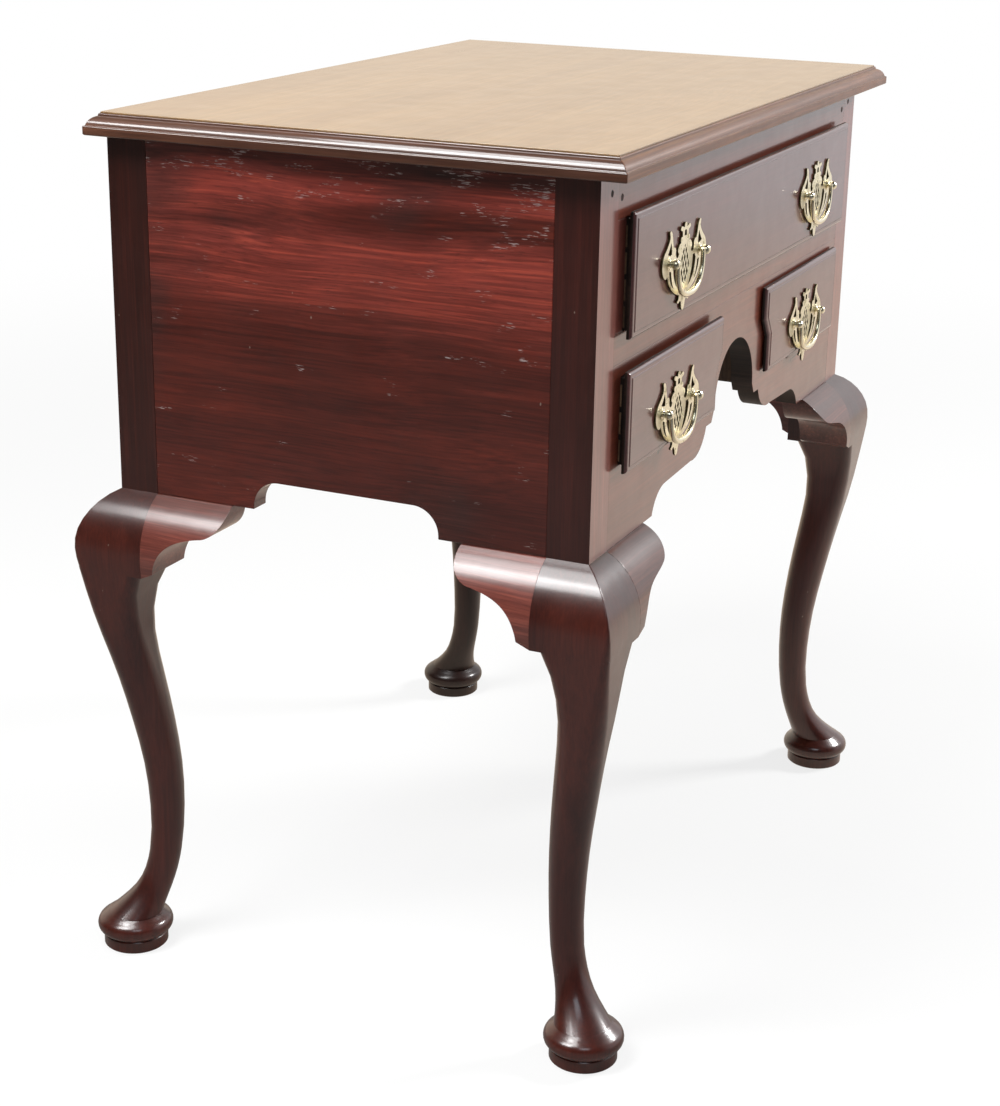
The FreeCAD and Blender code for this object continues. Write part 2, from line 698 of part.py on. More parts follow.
def drawer(name, lip_outline, x0, x1, opening_low, opening_high, tail_count, ajar, pulls):
    """One drawer: lipped front, two dovetailed sides, back, and a bottom let into grooves.
    x0 and x1 are the edges of its opening, and pulls the centres of its pulls."""
    left, right = x0 + SIDE_GAP, x1 - SIDE_GAP
    low = opening_low + RUN_GAP
    high = opening_high - TOP_GAP
    face_y = FRONT_Y - RUN_GAP
    plug_y = face_y + PLUG_THICKNESS
    plug = box(left, right, face_y, plug_y, low, opening_high - SIDE_GAP)
    lip_points = [V(x, face_y, z) for x, z in lip_outline]
    front = lipped_front(lip_points, plug)
    back_y = DRAWER_END_Y
    inner_back = back_y - DRAWER_BACK
    groove = low + GROOVE_HEIGHT
    bottom_top = groove + DRAWER_BOTTOM
    back = box(left, right, inner_back, back_y, bottom_top, high)
    bottom = box(left + DRAWER_SIDE - GROOVE_DEPTH, right - DRAWER_SIDE + GROOVE_DEPTH,
                 plug_y - GROOVE_DEPTH, back_y, groove, bottom_top)
    front = front.cut(bottom)
    sides = []
    for near, far in ((left, left + DRAWER_SIDE), (right - DRAWER_SIDE, right)):
        side = box(near, far, plug_y, inner_back, low, high)
        lower = box(near, far, inner_back, back_y, low, bottom_top)
        side = side.fuse(lower)
        front_tails = tails(near, far, plug_y, plug_y - DOVETAIL_LENGTH, low, high, tail_count)
        back_tails = tails(near, far, inner_back, back_y, bottom_top, high, tail_count - 1)
        for tail in front_tails:
            side = side.fuse(tail)
            front = front.cut(tail)
        for tail in back_tails:
            side = side.fuse(tail)
            back = back.cut(tail)
        sides.append(side.removeSplitter().cut(bottom))
    shift = V(0, -ajar, 0)
    field_y = face_y - LIP_THICKNESS - FIELD_RISE
    for x, z, pull in pulls:
        for bolt in bolt_holes(x, z, field_y, plug_y):
            front = front.cut(bolt)
        make_pull(pull, x, z, field_y, plug_y, shift)
    pieces = {"front": front, "side_left": sides[0], "side_right": sides[1], "back": back,
              "bottom": bottom}
    for piece, shape in pieces.items():
        NODES[name + "_" + piece] = shape.translated(shift)


def make_drawers():
    """The long drawer and the two short ones."""
    lap_x = OPENING_X + LIP
    low, high = LONG_LOW - LIP, LONG_HIGH + LIP
    lip = [(-lap_x, low), (lap_x, low), (lap_x, high), (-lap_x, high)]
    pull_z = (LONG_LOW + LONG_HIGH) / 2 - PULL_DROP_LONG
    drawer("long_drawer", lip, -OPENING_X, OPENING_X, LONG_LOW, LONG_HIGH, 4, LONG_AJAR,
           [(-PULL_X, pull_z, "pull_upper_left"), (PULL_X, pull_z, "pull_upper_right")])
    low, high = SHORT_LOW - LIP, SHORT_HIGH + LIP
    bend_low = SHORT_LOW + 0.41 * SHORT_OPENING_HEIGHT
    bend_high = SHORT_LOW + 0.65 * SHORT_OPENING_HEIGHT
    inner = [(SHORT_LIP_UPPER, high), (SHORT_LIP_UPPER, bend_high), (SHORT_LIP_LOWER, bend_low),
             (SHORT_LIP_LOWER, low)]
    right = [(lap_x, low), (lap_x, high)] + inner
    left = [(-x, z) for x, z in reversed(right)]
    pull_z = (SHORT_LOW + SHORT_HIGH) / 2 - PULL_DROP_SHORT
    drawer("right_drawer", right, SHORT_OPENING_INNER, OPENING_X, SHORT_LOW, SHORT_HIGH, 3,
           RIGHT_AJAR, [(PULL_X, pull_z, "pull_lower_right")])
    drawer("left_drawer", left, -OPENING_X, -SHORT_OPENING_INNER, SHORT_LOW, SHORT_HIGH, 3,
           LEFT_AJAR, [(-PULL_X, pull_z, "pull_lower_left")])


# ---------------------------------------------------------------- pulls
def plate_half():
    """Right half of the pierced back plate, from the finial down to the pendant."""
    def at(x, z):
        return V(x, 0, z)

    return outline(
        at(0, -42.4),
        ("line", at(0, 26.6)),
        ("arc", at(2.6, 25.2), at(2.4, 23.0)),
        ("curve", at(6.4, 24.0), at(10.0, 24.0), at(11.0, 22.4), at(9.0, 21.0), at(6.8, 20.4)),
        ("line", at(6.2, 15.8)),
        ("curve", at(9.4, 15.4), at(10.0, 13.4), at(8.4, 11.8)),
        ("curve", at(12.4, 10.6), at(15.6, 7.4), at(13.6, 4.2)),
        ("curve", at(14.6, 2.2), at(17.4, 1.4), at(19.8, 3.4), at(20.2, 7.6)),
        ("curve", at(22.0, 10.2), at(25.0, 10.6)),
        ("curve", at(27.2, 14.5), at(28.6, 19.0), at(30.6, 23.2), at(33.2, 24.6)),
        ("curve", at(34.8, 23.6), at(34.0, 20.4), at(35.8, 16.4), at(40.4, 12.0), at(46.2, 7.4),
         at(49.2, 1.4), at(48.6, -4.6), at(45.2, -9.2), at(40.8, -11.0), at(37.8, -9.6)),
        ("curve", at(35.8, -13.4), at(29.0, -20.6), at(19.4, -26.0), at(12.2, -28.4)),
        ("curve", at(9.6, -30.0), at(10.6, -32.2), at(13.2, -33.4)),
        ("curve", at(9.4, -35.0), at(6.4, -34.0), at(4.4, -36.0), at(3.4, -39.2), at(0, -42.4)),
    )


def plate_piercings():
    """Right-hand piercings, then those on the centre line, as closed outlines."""
    def at(x, z):
        return V(x, -1, z)

    teardrop = outline(
        at(31.8, 15.6),
        ("arc", at(34.2, 11.4), at(38.2, 7.4)),
        ("arc", at(34.4, 6.0), at(29.6, 5.6)),
        ("arc", at(29.8, 10.6), at(31.8, 15.6)),
    )
    scroll = outline(
        at(33.6, -6.4),
        ("arc", at(31.0, -14.2), at(22.6, -21.6)),
        ("arc", at(27.4, -14.6), at(29.4, -7.4)),
    )
    crescent = outline(
        at(25.4, -4.6),
        ("arc", at(20.6, -16.6), at(9.4, -24.6)),
        ("arc", at(16.0, -13.6), at(18.6, -1.6)),
        ("line", at(22.4, -1.2)),
    )
    window = outline(
        at(-2.5, 16.4),
        ("line", at(2.5, 16.4), at(2.1, 20.8), at(-2.1, 20.8)),
    )
    return [teardrop, scroll, crescent], [window]


def lattice_windows(height):
    """The pointed oval in the middle of the plate, crossed by a lattice of slanting bars."""
    def at(x, z):
        return V(x, -1, z)

    oval = outline(
        at(0, 9.6),
        ("arc", at(6.4, 1.4), at(10.2, -7.0)),
        ("arc", at(6.9, -15.4), at(0, -21.6)),
        ("arc", at(-6.9, -15.4), at(-10.2, -7.0)),
        ("arc", at(-6.4, 1.4), at(0, 9.6)),
    )
    window = prism(oval, V(0, height, 0))
    bar_half = 0.85
    for lean in (28, -28):
        for offset in (-6.0, 0.0, 6.0):
            bar = box(-bar_half, bar_half, -2, height, -30, 30)
            bar.rotate(V(0, 0, 0), V(0, 1, 0), lean)
            window = window.cut(bar.translated(V(offset, 0, -6.4)))
    return window


def back_plate():
    """The whole pierced plate about the middle between its posts, its back on Y = 0."""
    half = prism(plate_half(), V(0, PLATE_THICKNESS, 0))
    paired, single = plate_piercings()
    reach = PLATE_THICKNESS + 2
    for wire in paired:
        half = half.cut(prism(wire, V(0, reach, 0)))
    spot = V(POST_SPACING / 2, -1, 0)
    half = half.cut(rod(spot, spot + V(0, reach, 0), BOLT_RADIUS + BOLT_CLEARANCE))
    plate = half.fuse(mirrored(half))
    for wire in single:
        plate = plate.cut(prism(wire, V(0, reach, 0)))
    plate = plate.cut(lattice_windows(reach)).removeSplitter()
    return plate.translated(V(0, -PLATE_THICKNESS, 0))


def bolt_holes(x, z, field_y, inside_y):
    """Two holes through the drawer front for a pull's bolts."""
    holes = []
    for side in (-1, 1):
        start = V(x + side * POST_SPACING / 2, field_y - 1, z)
        end = V(start.x, inside_y + 1, z)
        holes.append(rod(start, end, BOLT_RADIUS + BOLT_CLEARANCE))
    return holes


def post(inside):
    """A post about its own axis along Y, its collar on Y = 0: turned collar, neck and head, with
    a bolt behind that reaches inside millimetres."""
    end = inside + PLATE_THICKNESS
    head = flats(V(0, -HEAD_REACH, 0), HEAD_RADIUS, 53, -90, HEAD_FACETS, V(0, 1, 0))
    profile = outline(
        V(0, end, 0),
        ("line", V(BOLT_RADIUS, end, 0), V(BOLT_RADIUS, 0, 0), V(COLLAR_RADIUS, 0, 0)),
        ("line", V(COLLAR_RADIUS, -0.5, 0), V(0.72 * HEAD_RADIUS, -1.3, 0)),
        ("line", *head),
    )
    shape = turned(profile, V(0, 0, 0), V(0, 1, 0))
    shape.rotate(V(0, 0, 0), V(0, 1, 0), 90)
    return shape


def pull_posts(inside):
    """Two posts with the bail's pin holes in their heads."""
    made = []
    for side in (-1, 1):
        x = side * POST_SPACING / 2
        shape = post(inside).translated(V(x, 0, 0))
        mouth = V(x - side * HEAD_RADIUS * 1.2, -HEAD_REACH, 0)
        shape = shape.cut(rod(mouth, V(x + side * 0.6, -HEAD_REACH, 0), PIN_RADIUS + PIN_CLEARANCE))
        made.append(shape)
    return Part.makeCompound(made)


def bail():
    """The swan-neck handle: a U filed to many flats, thickest at the bottom, with a pin at each end.
    It hangs from its pivot line at 0,0."""
    half, drop = BAIL_HALF_WIDTH, BAIL_DROP
    curve = Part.BSplineCurve()
    curve.interpolate([
        V(-half, 0, 2.2), V(-half - 0.4, 0, -0.28 * drop), V(-0.83 * half, 0, -0.72 * drop),
        V(-0.45 * half, 0, -0.95 * drop), V(0, 0, -drop), V(0.45 * half, 0, -0.95 * drop),
        V(0.83 * half, 0, -0.72 * drop), V(half + 0.4, 0, -0.28 * drop), V(half, 0, 2.2),
    ])
    sections = []
    for index in range(BAIL_LENGTHS + 1):
        share = index / BAIL_LENGTHS
        place = curve.FirstParameter + share * (curve.LastParameter - curve.FirstParameter)
        centre = curve.value(place)
        sideways = curve.tangent(place)[0].cross(V(0, 1, 0))
        radius = BAIL_RADIUS + BAIL_SWELL * math.sin(math.pi * share) ** 2
        corners = []
        for corner in range(BAIL_SIDES + 1):
            angle = 2 * math.pi * corner / BAIL_SIDES
            corners.append(centre + V(0, radius * math.cos(angle), 0) + sideways * radius * math.sin(angle))
        sections.append(Part.makePolygon(corners))
    grip = Part.makeLoft(sections, True, True)
    pin_end = POST_SPACING / 2 - 0.4
    for side in (-1, 1):
        pin = rod(V(side * (half - 0.5), 0, 0), V(side * pin_end, 0, 0), PIN_RADIUS)
        grip = grip.fuse(pin)
    return grip.removeSplitter()


def make_pull(name, x, z, field_y, inside_y, shift):
    """Place one pull on a drawer front: plate, posts and bail."""
    on_face = V(x, field_y, z) + shift
    at_plate = on_face - V(0, PLATE_THICKNESS, 0)
    NODES[name + "_plate"] = PLATE.translated(on_face)
    NODES[name + "_posts"] = pull_posts(inside_y - field_y).translated(at_plate)
    NODES[name + "_bail"] = BAIL.translated(at_plate - V(0, HEAD_REACH, 0))


PLATE = back_plate()
BAIL = bail()

make_case()
make_top()
make_drawers()

os.makedirs("parts", exist_ok=True)
for node, solid in sorted(NODES.items()):
    if not solid.isValid():
        print("not valid:", node)
    solid.exportStep(os.path.join("parts", node + ".step"))
print(len(NODES), "nodes")
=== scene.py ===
"""A mahogany lowboy with one long drawer over two short ones, dressed for the studio.

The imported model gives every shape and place.  This script rounds the arrises of its woodwork, adds
the small fasteners, gives each piece its finish, and sets up the floor, the lights and the camera.
All lengths are in metres, in the model's own frame.
"""
import json
import logging
import math
from collections.abc import Callable, Iterator
from contextlib import contextmanager
from dataclasses import dataclass, field, replace
from enum import Enum

import bmesh
import bpy
from mathutils import Matrix, Vector

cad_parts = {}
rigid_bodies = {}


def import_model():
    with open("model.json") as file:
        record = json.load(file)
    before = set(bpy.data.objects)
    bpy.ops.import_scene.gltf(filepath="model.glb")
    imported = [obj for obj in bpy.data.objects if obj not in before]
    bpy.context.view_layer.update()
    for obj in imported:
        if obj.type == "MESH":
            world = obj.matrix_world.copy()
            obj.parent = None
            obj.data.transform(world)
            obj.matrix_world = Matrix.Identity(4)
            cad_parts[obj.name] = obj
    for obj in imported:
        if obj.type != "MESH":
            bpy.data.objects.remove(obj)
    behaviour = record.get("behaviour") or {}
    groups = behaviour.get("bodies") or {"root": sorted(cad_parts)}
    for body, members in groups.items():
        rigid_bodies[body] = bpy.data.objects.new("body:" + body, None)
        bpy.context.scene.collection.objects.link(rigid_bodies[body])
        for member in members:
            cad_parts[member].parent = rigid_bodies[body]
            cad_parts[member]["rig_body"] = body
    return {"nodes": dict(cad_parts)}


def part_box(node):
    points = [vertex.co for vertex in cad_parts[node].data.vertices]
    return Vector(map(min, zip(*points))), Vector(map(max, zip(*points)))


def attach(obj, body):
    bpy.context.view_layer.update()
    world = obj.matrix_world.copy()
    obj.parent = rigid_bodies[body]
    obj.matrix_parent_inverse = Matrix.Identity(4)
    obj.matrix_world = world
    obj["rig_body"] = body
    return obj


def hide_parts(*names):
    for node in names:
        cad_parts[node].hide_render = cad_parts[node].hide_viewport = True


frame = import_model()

LOG = logging.getLogger("lowboy")

Colour = tuple[float, float, float]
Point = tuple[float, float, float]
Reach = tuple[float, float]
Piece = bpy.types.Object
Socket = bpy.types.NodeSocket
Sockets = dict[str, Socket]
Feed = Socket | float | Point
Test = Callable[[Vector, Vector], bool]

WHITE: Colour = (1.0, 1.0, 1.0)
SMOKED: Colour = (0.030, 0.016, 0.014)
BACK = Vector((0.0, 1.0, 0.0))
DOWN = Vector((0.0, 0.0, -1.0))

# what each kind of damage does: how much it hides of the wood, its colour and its depth
Damage = tuple[float, Colour, float]
SCRATCHED: Damage = (0.45, (0.33, 0.25, 0.21), 1.0)
NICKED: Damage = (0.65, (0.36, 0.30, 0.29), 3.0)
MARKED: Damage = (1.0, (0.012, 0.007, 0.006), 4.0)

# old marks on the apron, a filled hole and a thin dark line beside it under each short drawer: each
# from a start to an end with a half width
MARKS: tuple[tuple[Point, Point, float], ...] = (
    ((-0.1867, 0.0, 0.4744), (-0.1863, 0.0, 0.4744), 0.0017),
    ((-0.1837, 0.0, 0.4748), (-0.1642, 0.0, 0.4778), 0.0006),
    ((0.1649, 0.0, 0.4729), (0.1653, 0.0, 0.4729), 0.0017),
    ((0.1679, 0.0, 0.4733), (0.1963, 0.0, 0.4748), 0.0006),
)


class Grain(Enum):
    """The way the wood's fibres run, as the order of the axes with theirs first."""

    ACROSS = (0, 1, 2)
    DEEP = (1, 0, 2)
    UPRIGHT = (2, 0, 1)


class Slot(Enum):
    """The record's material slots."""

    SHOW_WOOD = "show_wood"
    INNER_WOOD = "inner_wood"
    BRASS = "brass"


# ---- shader graphs
def by_name(node: bpy.types.Node) -> Sockets:
    """A node's outputs by their names."""
    return {socket.name: socket for socket in node.outputs}


def darker(colour: Colour, share: float) -> Colour:
    """A share of a colour."""
    return tuple(share * part for part in colour)


class Graph:
    """Adds nodes to one node tree, which it empties first, and joins them up."""

    measures = ("DISTANCE", "DOT_PRODUCT", "LENGTH")

    def __init__(self, tree: bpy.types.NodeTree) -> None:
        """Start on the node tree of a material, a world or a group."""
        self.tree = tree
        tree.nodes.clear()

    def node(self, kind: str, feeds: dict | None = None, **settings: object) -> bpy.types.Node:
        """Add one node.

        Args:
            kind: the shader node's type.
            feeds: what goes into its inputs, by input name or number.
            **settings: the node's own properties.

        Returns:
            The new node.
        """
        made = self.tree.nodes.new("ShaderNode" + kind)
        for name, value in settings.items():
            setattr(made, name, value)
        for key, value in (feeds or {}).items():
            self.feed(made.inputs[key], value)
        return made

    def feed(self, socket: Socket, value: Feed) -> None:
        """Link a socket into an input, or set the input to a constant.

        Args:
            socket: the input.
            value: what goes into it.
        """
        if isinstance(value, Socket):
            self.tree.links.new(value, socket)
        elif socket.type == "RGBA":
            socket.default_value = (*value, 1.0)
        else:
            socket.default_value = value

    def math(self, operation: str, first: Feed, second: Feed) -> Socket:
        """One arithmetic step on two values."""
        return self.node("Math", {0: first, 1: second}, operation=operation).outputs[0]

    def times(self, first: Feed, second: Feed) -> Socket:
        """The product of two values."""
        return self.math("MULTIPLY", first, second)

    def vector(self, operation: str, first: Feed, second: Feed = (0.0, 0.0, 0.0)) -> Socket:
        """One step on two vectors: a vector, or a value where the step measures something."""
        made = self.node("VectorMath", {0: first, 1: second}, operation=operation)
        return made.outputs["Value" if operation in self.measures else "Vector"]

    def parts(self, place: Feed) -> list[Socket]:
        """The three coordinates of a place."""
        return list(self.node("SeparateXYZ", {0: place}).outputs)

    def joined(self, *parts: Feed) -> Socket:
        """The place that has these coordinates."""
        return self.node("CombineXYZ", dict(enumerate(parts))).outputs[0]

    def along(self, place: Feed, grain: Grain) -> Socket:
        """Places turned so that the first coordinate runs along the grain."""
        parts = self.parts(place)
        return self.joined(*(parts[axis] for axis in grain.value))

    def smooth(self, value: Feed, low: float, high: float) -> Socket:
        """A soft step from 0 at low to 1 at high, which may be the lower of the two."""
        feeds = {"Value": value, "From Min": low, "From Max": high}
        return self.node("MapRange", feeds, interpolation_type="SMOOTHSTEP").outputs["Result"]

    def spread(self, value: Feed, low: float, high: float) -> Socket:
        """A value from 0 to 1 stretched to run from low to high."""
        feeds = {"Value": value, "To Min": low, "To Max": high}
        return self.node("MapRange", feeds).outputs["Result"]

    def mix(self, share: Feed, first: Feed, second: Feed, way: str = "MIX") -> Socket:
        """Two colours mixed by a share."""
        feeds = {0: share, 6: first, 7: second}
        return self.node("Mix", feeds, data_type="RGBA", blend_type=way).outputs[2]

    def bump(self, height: Feed, strength: float, depth: float) -> Socket:
        """The surface's normal, bent by a relief."""
        feeds = {"Height": height, "Strength": strength, "Distance": depth}
        return self.node("Bump", feeds).outputs[0]

    def noise(self, place: Feed, size: float, detail: float, twist: float = 0.0) -> Socket:
        """Soft noise from 0 to 1.

        Args:
            place: where it is read.
            size: how many features there are to a unit.
            detail: how many finer layers it has.
            twist: how far it is bent by itself.

        Returns:
            The noise's value.
        """
        feeds = {"Vector": place, "Scale": size, "Detail": detail, "Distortion": twist}
        return self.node("TexNoise", feeds).outputs["Fac"]

    def drawn(self, place: Feed, along: float, over: float, detail: float,
              twist: float = 0.0) -> Socket:
        """Soft noise drawn out along the grain.

        Args:
            place: where it is read, with its first coordinate along the grain.
            along: how many features there are to a metre along the grain.
            over: how many there are to a metre over it.
            detail: how many finer layers it has.
            twist: how far it is bent by itself.

        Returns:
            The noise's value.
        """
        return self.noise(self.vector("MULTIPLY", place, (along, over, over)), 1.0, detail, twist)


class Effect:
    """A shader node group that several finishes use, built once."""

    made: dict[str, bpy.types.NodeTree] = {}
    title: str = ""
    inputs: dict[str, str] = {}
    outputs: tuple[str, ...] = ()

    @classmethod
    def tree(cls) -> bpy.types.NodeTree:
        """Build the group at its first use.

        Returns:
            The group's node tree.
        """
        if cls.title not in Effect.made:
            tree = bpy.data.node_groups.new(cls.title, "ShaderNodeTree")
            for name, kind in cls.inputs.items():
                tree.interface.new_socket(name, in_out="INPUT", socket_type="NodeSocket" + kind)
            for name in cls.outputs:
                tree.interface.new_socket(name, in_out="OUTPUT", socket_type="NodeSocketFloat")
            graph = Graph(tree)
            given = by_name(tree.nodes.new("NodeGroupInput"))
            done = tree.nodes.new("NodeGroupOutput")
            for name, result in zip(cls.outputs, cls.build(graph, given)):
                graph.feed(done.inputs[name], result)
            Effect.made[cls.title] = tree
        return Effect.made[cls.title]

    @classmethod
    def build(cls, graph: Graph, given: Sockets) -> list[Socket]:
        """Make the group's inside.

        Args:
            graph: the group's graph.
            given: the group's inputs by name.

        Returns:
            What the group puts out, in order.
        """
        raise NotImplementedError

    @classmethod
    def place(cls, graph: Graph, **feeds: Feed) -> Sockets:
        """Put the group into a material, with what goes into its inputs, and give its outputs."""
        return by_name(graph.node("Group", feeds, node_tree=cls.tree()))


class WoodGrain(Effect):
    """Straight-grained hardwood: broad figure, streaks, fibres and pores along the first axis."""

    title = "wood grain"
    inputs = {"Place": "Vector", "Board": "Float", "Sway": "Float"}
    outputs = ("Figure", "Streak", "Fibre", "Pore")
    wander = (2.6, 6.0, 2.0)
    figure = (1.5, 26.0, 4.0, 0.2)
    streak = (5.0, 330.0, 3.0)
    fibre = (20.0, 700.0, 2.0)
    pore = (90.0, 1500.0, 1.0)
    pore_step = (0.60, 0.72)

    @classmethod
    def build(cls, graph: Graph, given: Sockets) -> list[Socket]:
        """Each layer is noise, drawn out along the grain and bent by a slow sway.

        Args:
            graph: the group's graph.
            given: the group's inputs by name.

        Returns:
            The four layers.
        """
        shift = graph.joined(given["Board"], given["Board"])
        place = graph.vector("ADD", given["Place"], shift)
        slow = graph.math("SUBTRACT", graph.drawn(place, *cls.wander), 0.5)
        bend = graph.times(slow, given["Sway"])
        bent = graph.vector("ADD", place, graph.joined(0.0, bend, bend))
        layers = [graph.drawn(bent, *layer) for layer in (cls.figure, cls.streak, cls.fibre)]
        return [*layers, graph.smooth(graph.drawn(bent, *cls.pore), *cls.pore_step)]


class Nicks(Effect):
    """Small ragged flecks drawn out along the grain, gathered in clusters."""

    title = "nicks"
    inputs = {"Place": "Vector", "Share": "Float"}
    outputs = ("Mask",)
    fleck = (130.0, 1250.0, 2.0)
    fleck_step = (0.59, 0.65)
    cluster = (36.0, 80.0, 2.0)
    cluster_step = (0.64, 0.72)
    lift = 0.35

    @classmethod
    def build(cls, graph: Graph, given: Sockets) -> list[Socket]:
        """Fine drawn-out noise over a threshold, kept where a slower one and the share are high.

        Args:
            graph: the group's graph.
            given: the group's inputs by name.

        Returns:
            Where the flecks are.
        """
        fleck = graph.smooth(graph.drawn(given["Place"], *cls.fleck), *cls.fleck_step)
        cluster = graph.drawn(given["Place"], *cls.cluster)
        level = graph.math("ADD", cluster, graph.times(given["Share"], cls.lift))
        return [graph.times(fleck, graph.smooth(level, *cls.cluster_step))]


class Scratches(Effect):
    """Short straight scratches, slanted one way, scattered one to a long narrow cell."""

    title = "scratches"
    inputs = {"Place": "Vector", "Share": "Float"}
    outputs = ("Mask",)
    slant = (0.5, 0.9, 0.4)
    waves = 20.0
    push = (0.01, 0.01, 0.01)
    cells = (4.2, 60.0, 60.0)
    line_step = (0.050, 0.020)

    @classmethod
    def build(cls, graph: Graph, given: Sockets) -> list[Socket]:
        """A thin line along the middle of each cell whose own random number is under the share.

        Args:
            graph: the group's graph.
            given: the group's inputs by name.

        Returns:
            Where the lines are.
        """
        slanted = graph.node("Mapping", {"Vector": given["Place"], "Rotation": cls.slant})
        bend = graph.node("TexNoise", {"Vector": given["Place"], "Scale": cls.waves})
        push = graph.vector("MULTIPLY", bend.outputs["Color"], cls.push)
        bent = graph.vector("ADD", slanted.outputs[0], push)
        cells = graph.vector("MULTIPLY", bent, cls.cells)
        lines = by_name(graph.node("TexVoronoi", {"Vector": cells, "Scale": 1.0}))
        line = graph.smooth(lines["Distance"], *cls.line_step)
        luck = graph.node("SeparateColor", {0: lines["Color"]}).outputs[0]
        return [graph.times(line, graph.math("LESS_THAN", luck, given["Share"]))]


class Patina(Effect):
    """Uneven age: slow changes of tone, of how high the polish is, and of how flat."""

    title = "patina"
    inputs = {"Place": "Vector"}
    outputs = ("Tone", "Dullness", "Ripple")
    layers = ((7.0, 3.0), (38.0, 4.0), (60.0, 1.0))

    @classmethod
    def build(cls, graph: Graph, given: Sockets) -> list[Socket]:
        """Three slow noises, each with its size and its detail."""
        return [graph.noise(given["Place"], *layer) for layer in cls.layers]


class Mark(Effect):
    """A thin straight mark from one point to another."""

    title = "mark"
    inputs = {"Place": "Vector", "Start": "Vector", "End": "Vector", "Width": "Float"}
    outputs = ("Mask",)
    edge_step = (1.3, 0.7)

    @classmethod
    def build(cls, graph: Graph, given: Sockets) -> list[Socket]:
        """One where the place is nearer to the line than its width, and fading outside it.

        Args:
            graph: the group's graph.
            given: the group's inputs by name.

        Returns:
            Where the mark is.
        """
        reach = graph.vector("SUBTRACT", given["End"], given["Start"])
        offset = graph.vector("SUBTRACT", given["Place"], given["Start"])
        done = graph.vector("DOT_PRODUCT", offset, reach)
        whole = graph.vector("DOT_PRODUCT", reach, reach)
        share = graph.node("Clamp", {0: graph.math("DIVIDE", done, whole)}).outputs[0]
        near = graph.node("VectorMath", {0: reach, "Scale": share}, operation="SCALE").outputs[0]
        away = graph.vector("DISTANCE", offset, near)
        return [graph.smooth(graph.math("DIVIDE", away, given["Width"]), *cls.edge_step)]


# ---- finishes
@dataclass(frozen=True)
class Finish:
    """What every finish has: its name and the slot of the record that it stands for."""

    name: str
    slot: Slot

    def surface(self, graph: Graph, place: Socket) -> dict[str, Feed]:
        """Make the finish's pattern.

        Args:
            graph: the material's graph.
            place: the object's own coordinates.

        Returns:
            What goes into the shader, by the names of its inputs.
        """
        raise NotImplementedError

    def material(self) -> bpy.types.Material:
        """Build the material.

        Returns:
            The material, with the finish's pattern in its shader.
        """
        material = bpy.data.materials.new(self.name)
        material.use_nodes = True
        graph = Graph(material.node_tree)
        place = graph.node("TexCoord").outputs["Object"]
        shader = graph.node("BsdfPrincipled", self.surface(graph, place))
        graph.node("OutputMaterial", {"Surface": shader.outputs[0]})
        return material


